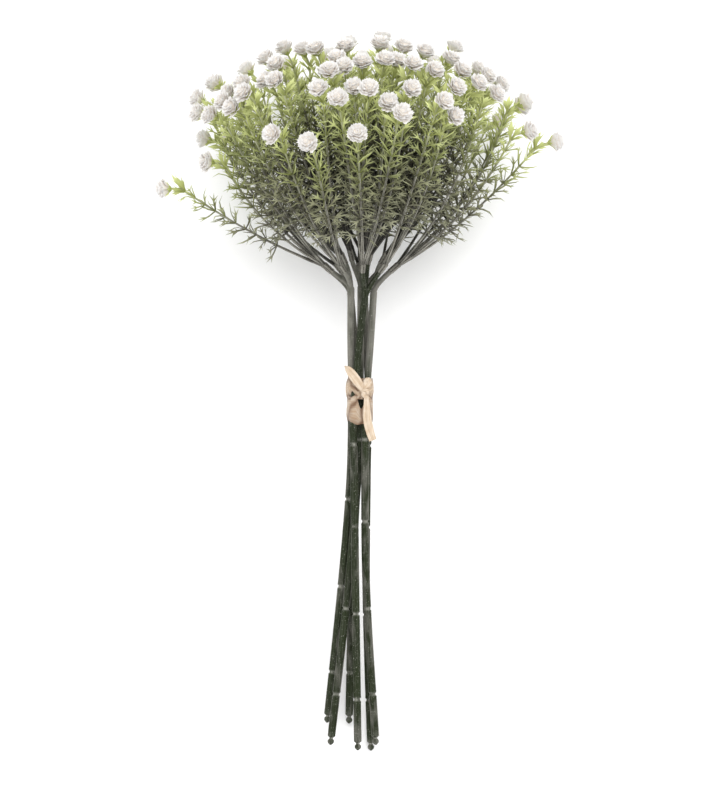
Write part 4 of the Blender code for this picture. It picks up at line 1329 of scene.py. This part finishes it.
# The foot and head rim of each turn: height, bumps of (height, angle, reach, power), and a ripple of
# (height, waves, phase). The turns' gaps from the stems follow.
LOWER_RIMS = (
    (180.2, ((2.2, -75.0, 60.0, 1.0),), (0.2, 7.0, 0.0)),
    (195.4, ((-6.6, 6.0, 25.0, 0.6), (1.0, -20.0, 20.0, 1.0)), (0.0, 0.0, 0.0)),
)
UPPER_RIMS = (
    (194.0, ((4.4, -36.0, 26.0, 1.0),), (0.0, 0.0, 0.0)),
    (205.4, ((1.4, -55.0, 50.0, 1.0),), (0.2, 5.0, 40.0)),
)
LOWER_GAP = 0.1
UPPER_GAP = 0.3
# The knot's two lumps: middle, half sizes, the point that their folds run to, how many folds, and a seed.
KNOT_LUMPS = (
    ((3.6, 202.0, 7.6), (3.2, 3.9, 2.4), (0.8, 197.6, 9.6), 7.0, 1.0),
    ((2.4, 197.4, 8.6), (2.6, 2.7, 1.9), (0.4, 198.5, 12.0), 4.0, 5.0),
)


def tie_place(around, v, radius):
    turn = math.radians(around)
    return np.array((TIE_CENTRE_U + math.sin(turn) * radius, v, math.cos(turn) * radius))


def hull_radius(around, v):
    """How far the six stems reach from the tie's centre in a direction, as a tight ribbon would lie."""
    reach = 99.0
    for k in range(36):
        lean = math.radians(10.0 * k)
        off = (math.radians(around) - lean + math.pi) % math.tau - math.pi
        if abs(off) > 1.2:
            continue
        heading = (math.sin(lean), math.cos(lean))
        support = 0.0
        for stem in STEMS:
            u, _, w = stem_point(stem, v)
            support = max(support, (u - TIE_CENTRE_U) * heading[0] + w * heading[1] + STEM_RADIUS)
        reach = min(reach, support / math.cos(off))
    return reach


def rim_height(rim, around):
    base, bumps, (ripple, waves, phase) = rim
    height = base
    for rise, middle, reach, power in bumps:
        height += rise * bump(around, middle, reach) ** power
    return height + ripple * math.sin(math.radians(around * waves + phase))


def band_mesh(rims, gap, fold):
    """A closed ribbon turn round the stems, between its rims, with folds by the angle and the height, and
    their painted shade.
    """
    bm, layer = new_mesh()
    places = ((1.0, 0, 0), (1.35, 0, 0), (1.35, 0, 1), (1.0, 0, 1))
    corners = [bm.verts.new(place) for place in places]
    wire = [bm.edges.new((corners[k], corners[(k + 1) % 4])) for k in range(4)]
    bmesh.ops.subdivide_edges(bm, edges=[wire[1], wire[3]], cuts=BAND_ROWS - 1)
    bmesh.ops.spin(
        bm, geom=bm.verts[:] + bm.edges[:], cent=(0, 0, 0), axis=(0, 0, 1), angle=math.tau,
        steps=BAND_STEPS, use_merge=True,
    )
    step = 360.0 / BAND_STEPS
    angles = [step * k for k in range(BAND_STEPS)]
    hull = [hull_radius(angle, 0.5 * sum(rim_height(rim, angle) for rim in rims)) for angle in angles]
    for vert in bm.verts:
        around = math.degrees(math.atan2(vert.co.x, vert.co.y))
        depth = math.hypot(vert.co.x, vert.co.y) - 1.0
        t = vert.co.z
        v = rim_height(rims[0], around) * (1.0 - t) + rim_height(rims[1], around) * t
        lift, shade = fold(around, v, t)
        reach = hull[round(around / step) % BAND_STEPS]
        radius = reach + gap + depth + lift * (1.0 if depth > 0.1 else 0.3)
        vert.co = Vector(world(tie_place(around, v, radius))) * MM
        # The mark's z is the painted shade.
        vert[layer] = (t * 12.0, around * 0.14, min(shade, 0.95))
    bmesh.ops.recalc_face_normals(bm, faces=bm.faces)
    return bm


def fan(around, v, rate, seed):
    """Gathers that run out from the knot: from -1 in a groove to 1 on a ridge, and how far out they reach."""
    across_front = (around - KNOT_ANGLE) / RADIAN * KNOT_RADIUS
    along = v - KNOT_V
    turn = math.atan2(along, across_front)
    spot = Vector((across_front * 0.25, along * 0.25, seed))
    ridge = math.sin(turn * rate + 2.5 * noise.noise(spot))
    out = math.hypot(across_front, along)
    return ridge, min(out / 3.0, 1.0) * math.exp(-out / 16.0)


def lower_folds(around, v, t):
    """Lift in millimetres and the painted shade: some over the whole turn and more in the grooves; the lower
    edge turns in and is painted as in shade.
    """
    ridge, reach = fan(around, v, 9.0, 1.0)
    rolled = max(0.0, 1.0 - t * 3.5)
    lift = 0.42 * ridge * reach + 0.25 * math.sin(math.pi * min(t * 1.6, 1.0)) - 0.5 * rolled * rolled
    return lift, 0.36 + max(0.0, -ridge) * reach + 0.4 * rolled


def upper_folds(around, v, t):
    """As lower_folds, with less painted shade over the turn and more at both rims, and the loop on the left
    standing off the stems.
    """
    ridge, reach = fan(around, v, 7.0, 4.0)
    loop = bump(around, -62.0, 75.0)
    round_over = math.sin(math.pi * t) ** 0.6
    lift = 0.36 * ridge * reach + (1.3 * round_over - 0.7) * (0.35 + 0.65 * loop)
    return lift, 0.22 + max(0.0, -ridge) * reach + 0.4 * (1.0 - round_over)


def lump_mesh(place, size, pinch, folds, seed):
    """A bunched lump of ribbon whose folds run to the pinch of the knot, painted darker in their grooves as
    shade.
    """
    bm, layer = new_mesh()
    bmesh.ops.create_icosphere(bm, subdivisions=5, radius=1.0)
    for vert in bm.verts:
        spot = Vector([middle + reach * at for middle, reach, at in zip(place, size, vert.co)])
        off = spot - Vector(pinch)
        turn = math.atan2(off.y, off.x)
        ripple = math.sin(turn * folds + 3.0 * noise.noise(spot * 0.4 + Vector((seed, 0.0, 0.0))))
        away = min(off.length / 2.5, 1.0)
        spot = spot + Vector(vert.co) * (ripple * (away * 0.2))
        vert.co = Vector(world(np.array(spot))) * MM
        # Painted shade in the grooves.
        vert[layer] = (turn * 3.0, off.length, 0.04 + max(0.0, -ripple) * 0.4 * away)
    bmesh.ops.recalc_face_normals(bm, faces=bm.faces)
    return bm


def row_value(rows, s, column):
    """A smooth value along the rows of a ribbon end, for s from 0 to 1."""
    knots = [(k / (len(rows) - 1), row[column]) for k, row in enumerate(rows)]
    return smooth_value(knots, s, 1)


def ribbon_middle(rows, s):
    return np.array([row_value(rows, s, k) for k in range(3)])


def tail_mesh(rows, seed):
    """A ribbon end: a grid along the rows, folded lengthwise, crumpled, and given its thickness; its crease
    and its start at the knot are painted darker as shade.
    """
    bm, layer = new_mesh()
    bmesh.ops.create_grid(bm, x_segments=TAIL_COLUMNS, y_segments=TAIL_STEPS, size=1.0)
    for vert in bm.verts:
        x = vert.co.x
        s = vert.co.y * 0.5 + 0.5
        here = ribbon_middle(rows, s)
        along = unit(ribbon_middle(rows, min(s + 0.02, 1.0)) - ribbon_middle(rows, max(s - 0.02, 0.0)))
        out = unit(np.array((0.35 * (here[0] - TIE_CENTRE_U), 0.0, here[2])))
        out = unit(out - along * float(out @ along))
        side = np.cross(along, out)
        half = max(row_value(rows, s, 3), 0.6) * 0.5
        crumple = noise.noise(Vector((x * 1.6 + seed, s * 9.0, 0.0))) * 0.35
        crease = math.exp(-((x - 0.35 + 0.3 * s) / 0.16) ** 2)
        lift = (0.35 - x * x) * 0.55 + crumple - 0.3 * crease
        frayed = 0.35 * noise.noise(Vector((x * 4.0, seed, 3.0))) * (1.0 if s > 0.97 else 0.0)
        point = here + side * (x * half) + out * lift + along * frayed
        vert.co = Vector(world(point)) * MM
        # Painted shade in the crease and near the knot.
        vert[layer] = (x * 2.4, s * 24.0, 0.18 * crease + 0.2 * max(0.0, 0.25 - s))
    bmesh.ops.solidify(bm, geom=bm.faces[:], thickness=RIBBON_THICKNESS * MM)
    bmesh.ops.recalc_face_normals(bm, faces=bm.faces)
    return bm


# Stage

# In metres: the floor's half side and its gap below the bunch, and the large soft light with its diameter,
# its place, and the direction from the bunch to it. The camera's sensor is in millimetres.
FLOOR_HALF = 6.0
FLOOR_GAP = 0.0002
KEY_SIZE = 2.0
KEY_PLACE = (0.1, 0.6, 2.5)
KEY_SIDE = (0.1, 0.5, 2.45)
SENSOR_WIDTH = 36.0


def lay_floor(context, settings):
    """A plain floor with the finish of matt paint."""
    bm = bmesh.new()
    bmesh.ops.create_grid(bm, x_segments=2, y_segments=2, size=FLOOR_HALF)
    floor = bpy.data.objects.new("floor", as_mesh(bm, "floor"))
    context.scene.collection.objects.link(floor)
    surface, tree, shader = blank_material("painted_studio_floor")
    set_inputs(tree, shader, {"Base Color": opaque(settings.floor), "Roughness": 0.9})
    floor.data.materials.append(surface)
    floor.location.z = -FLOOR_GAP


def light_up(context, settings):
    """Even white light all round, and one large soft light above the head."""
    surround = bpy.data.worlds.new("studio")
    surround.use_nodes = True
    background = surround.node_tree.nodes["Background"]
    background.inputs["Color"].default_value = (1.0, 1.0, 1.0, 1.0)
    background.inputs["Strength"].default_value = settings.ambient
    context.scene.world = surround
    lamp = bpy.data.lights.new("soft_key", "AREA")
    lamp.shape = "DISK"
    lamp.size = KEY_SIZE
    lamp.energy = settings.key
    key = bpy.data.objects.new("soft_key", lamp)
    key.location = KEY_PLACE
    key.rotation_euler = Vector(KEY_SIDE).to_track_quat("Z", "Y").to_euler()
    context.scene.collection.objects.link(key)
    context.scene.view_settings.view_transform = "Standard"


def set_camera(context, settings):
    """Square to the bunch's axis, from above, framed as the picture."""
    camera = bpy.data.cameras.new("camera")
    camera.lens = settings.lens
    camera.sensor_width = SENSOR_WIDTH
    camera.clip_end = 50.0
    distance = settings.lens / SENSOR_WIDTH * (PICTURE_HEIGHT * MM_PER_PIXEL * MM)
    u = (PICTURE_WIDTH / 2.0 - AXIS_PIXEL_X) * MM_PER_PIXEL
    v = (FOOT_PIXEL_Y - PICTURE_HEIGHT / 2.0) * MM_PER_PIXEL
    middle = Vector(world(np.array((u, v, 0.0)))) * MM
    back = Vector((0.0, -math.sin(LYING_TILT), math.cos(LYING_TILT)))
    holder = bpy.data.objects.new("camera", camera)
    holder.location = middle + back * distance
    holder.rotation_euler = back.to_track_quat("Z", "Y").to_euler()
    context.scene.collection.objects.link(holder)
    context.scene.camera = holder


# Sizes and colours

def colour_property(name, description, code):
    return bpy.props.FloatVectorProperty(
        name=name, description=description, subtype="COLOR", size=3, min=0.0, max=1.0, default=linear(code),
    )


class FoliageSettings(bpy.types.PropertyGroup):
    low_leaf: colour_property("Low leaf", "Leaf colour near the hubs", "69665E")
    middle_leaf: colour_property("Middle leaf", "Leaf colour halfway up a branchlet", "67654F")
    upper_leaf: colour_property("Upper leaf", "Leaf colour in the upper third", "8C9455")
    top_leaf: colour_property("Top leaf", "Leaf colour at the blooms", "BAC17A")
    leaf_tip: colour_property("Leaf tip", "Colour that leaf tips fade to", "BABE9B")
    sleeve: colour_property("Sleeve", "Colour of the plug-on sleeves", "423F39")
    low_bark: colour_property("Low branchlet", "Branchlet colour near its hub", "3B3831")
    bark: colour_property("Branchlet", "Branchlet colour in the middle", "424134")
    dust: colour_property("Dust", "Colour of the dust on the lower foliage", "A2A096")


class BloomSettings(bpy.types.PropertyGroup):
    petal: colour_property("Petal rim", "Petal colour at its rim", "E3E1DF")
    petal_middle: colour_property("Petal", "Petal colour halfway", "DFD8D0")
    # The root colour is darker as painted shade between the petals, and warmer.
    shaded_petal_root: colour_property("Petal root", "Petal colour at its root", "D3CBC0")
    shapes: bpy.props.IntProperty(
        name="Bloom shapes", description="How many different blooms are drawn", default=4, min=1, max=12,
    )


class StemSettings(bpy.types.PropertyGroup):
    green: colour_property("Green", "Bare moulded green", "212B11")
    deep: colour_property("Deep green", "Darker moulded green", "11160A")
    dust: colour_property("Dust", "Brushed dust on the stems", "77756E")
    rim: colour_property("Worn edge", "Pale worn edge at the notches", "ABAAA1")


class RaffiaSettings(bpy.types.PropertyGroup):
    light: colour_property("Light fibre", "Lightest fibres", "D2C5B4")
    straw: colour_property("Fibre", "Straw colour of most fibres", "C1AD95")
    shade: colour_property("Dark fibre", "Darkest fibres", "AA8D6F")
    # The fold colour is painted shade.
    fold: colour_property("Fold", "Colour deep in a fold", "634834")


class StageSettings(bpy.types.PropertyGroup):
    floor: colour_property("Floor", "Plain pale floor", "F8F8F8")
    lens: bpy.props.FloatProperty(
        name="Lens", description="Focal length of the camera in millimetres", default=600.0, min=50.0,
    )
    ambient: bpy.props.FloatProperty(
        name="Ambient light", description="Strength of the even studio light", default=1.25, min=0.0,
    )
    key: bpy.props.FloatProperty(
        name="Key light", description="Power of the large soft light", default=34.0, min=0.0, unit="POWER",
    )


# Operators

class BUNCH_OT_foliage(bpy.types.Operator):
    """Make the sleeves, branchlets, leaves and calyces of all clusters"""
    bl_idname = "bunch.foliage"
    bl_label = "Foliage"

    def execute(self, context):
        surface = foliage_material(context.scene.bunch_foliage)
        clusters = layout()
        crowd = crowd_of(clusters, own=True)
        kit = leaf_kit()
        rng = random.Random(LAYOUT_SEED + 2)
        for number, cluster in enumerate(clusters):
            bm = foliage_mesh(cluster, crowd, kit, rng)
            name = f"cluster_{number + 1:02d}"
            add_piece(f"foliage_{number + 1:02d}", bm, surface, [name])
        return {"FINISHED"}


class BUNCH_OT_blooms(bpy.types.Operator):
    """Make the double blooms of all clusters"""
    bl_idname = "bunch.blooms"
    bl_label = "Blooms"

    def execute(self, context):
        settings = context.scene.bunch_blooms
        surface = petal_material(settings)
        shapes = [bloom_shape(seed) for seed in range(settings.shapes)]
        rng = random.Random(LAYOUT_SEED + 3)
        for number, cluster in enumerate(layout()):
            bm = blooms_mesh(cluster, shapes, rng)
            name = f"cluster_{number + 1:02d}"
            add_piece(f"blooms_{number + 1:02d}", bm, surface, [name], 60.0)
        return {"FINISHED"}


class BUNCH_OT_stems(bpy.types.Operator):
    """Make the six notched and dusted stems with their prongs"""
    bl_idname = "bunch.stems"
    bl_label = "Stems"

    def execute(self, context):
        surface = stem_material(context.scene.bunch_stems)
        clusters = layout()
        for number, stem in enumerate(STEMS):
            bm = stem_mesh(number, stem, clusters)
            name = f"stem_{number + 1}"
            add_piece("dusted_" + name, bm, surface, [name], 16.0)
        return {"FINISHED"}


class BUNCH_OT_raffia(bpy.types.Operator):
    """Make the raffia ribbon: two turns, the knot and its two ends"""
    bl_idname = "bunch.raffia"
    bl_label = "Raffia tie"

    def execute(self, context):
        surface = raffia_material(context.scene.bunch_raffia)
        bm = band_mesh(LOWER_RIMS, LOWER_GAP, lower_folds)
        take_in(bm, band_mesh(UPPER_RIMS, UPPER_GAP, upper_folds))
        for lump in KNOT_LUMPS:
            take_in(bm, lump_mesh(*lump))
        take_in(bm, tail_mesh(UPPER_TAIL, 2.0))
        take_in(bm, tail_mesh(LOWER_TAIL, 7.0))
        add_piece("raffia_ribbon", bm, surface, ["raffia_tie"], 60.0)
        return {"FINISHED"}


class BUNCH_OT_stage(bpy.types.Operator):
    """Make the floor, the soft light and the camera"""
    bl_idname = "bunch.stage"
    bl_label = "Stage"

    def execute(self, context):
        settings = context.scene.bunch_stage
        lay_floor(context, settings)
        light_up(context, settings)
        set_camera(context, settings)
        return {"FINISHED"}


class BUNCH_PT_pieces(bpy.types.Panel):
    """Lists the steps of the bunch with their sizes and colours"""
    bl_idname = "BUNCH_PT_pieces"
    bl_label = "Gypsophila bunch"
    bl_space_type = "VIEW_3D"
    bl_region_type = "UI"
    bl_category = "Bunch"

    def draw(self, context):
        layout_rows = self.layout
        for operator, group in STEPS:
            layout_rows.operator(operator)
            settings = getattr(context.scene, group)
            for name in settings.bl_rna.properties.keys():
                if name not in ("rna_type", "name"):
                    layout_rows.prop(settings, name)


STEPS = (
    ("bunch.stems", "bunch_stems"),
    ("bunch.foliage", "bunch_foliage"),
    ("bunch.blooms", "bunch_blooms"),
    ("bunch.raffia", "bunch_raffia"),
    ("bunch.stage", "bunch_stage"),
)
GROUPS = {
    "bunch_foliage": FoliageSettings,
    "bunch_blooms": BloomSettings,
    "bunch_stems": StemSettings,
    "bunch_raffia": RaffiaSettings,
    "bunch_stage": StageSettings,
}
CLASSES = (
    *GROUPS.values(), BUNCH_OT_stems, BUNCH_OT_foliage, BUNCH_OT_blooms, BUNCH_OT_raffia, BUNCH_OT_stage,
    BUNCH_PT_pieces,
)


def register():
    for item in CLASSES:
        bpy.utils.register_class(item)
    for name, group in GROUPS.items():
        setattr(bpy.types.Scene, name, bpy.props.PointerProperty(type=group))


def unregister():
    for name in GROUPS:
        delattr(bpy.types.Scene, name)
    for item in reversed(CLASSES):
        bpy.utils.unregister_class(item)


def main():
    register()
    bpy.ops.bunch.stems()
    bpy.ops.bunch.foliage()
    bpy.ops.bunch.blooms()
    bpy.ops.bunch.raffia()
    bpy.ops.bunch.stage()


if __name__ == "__main__":
    main()
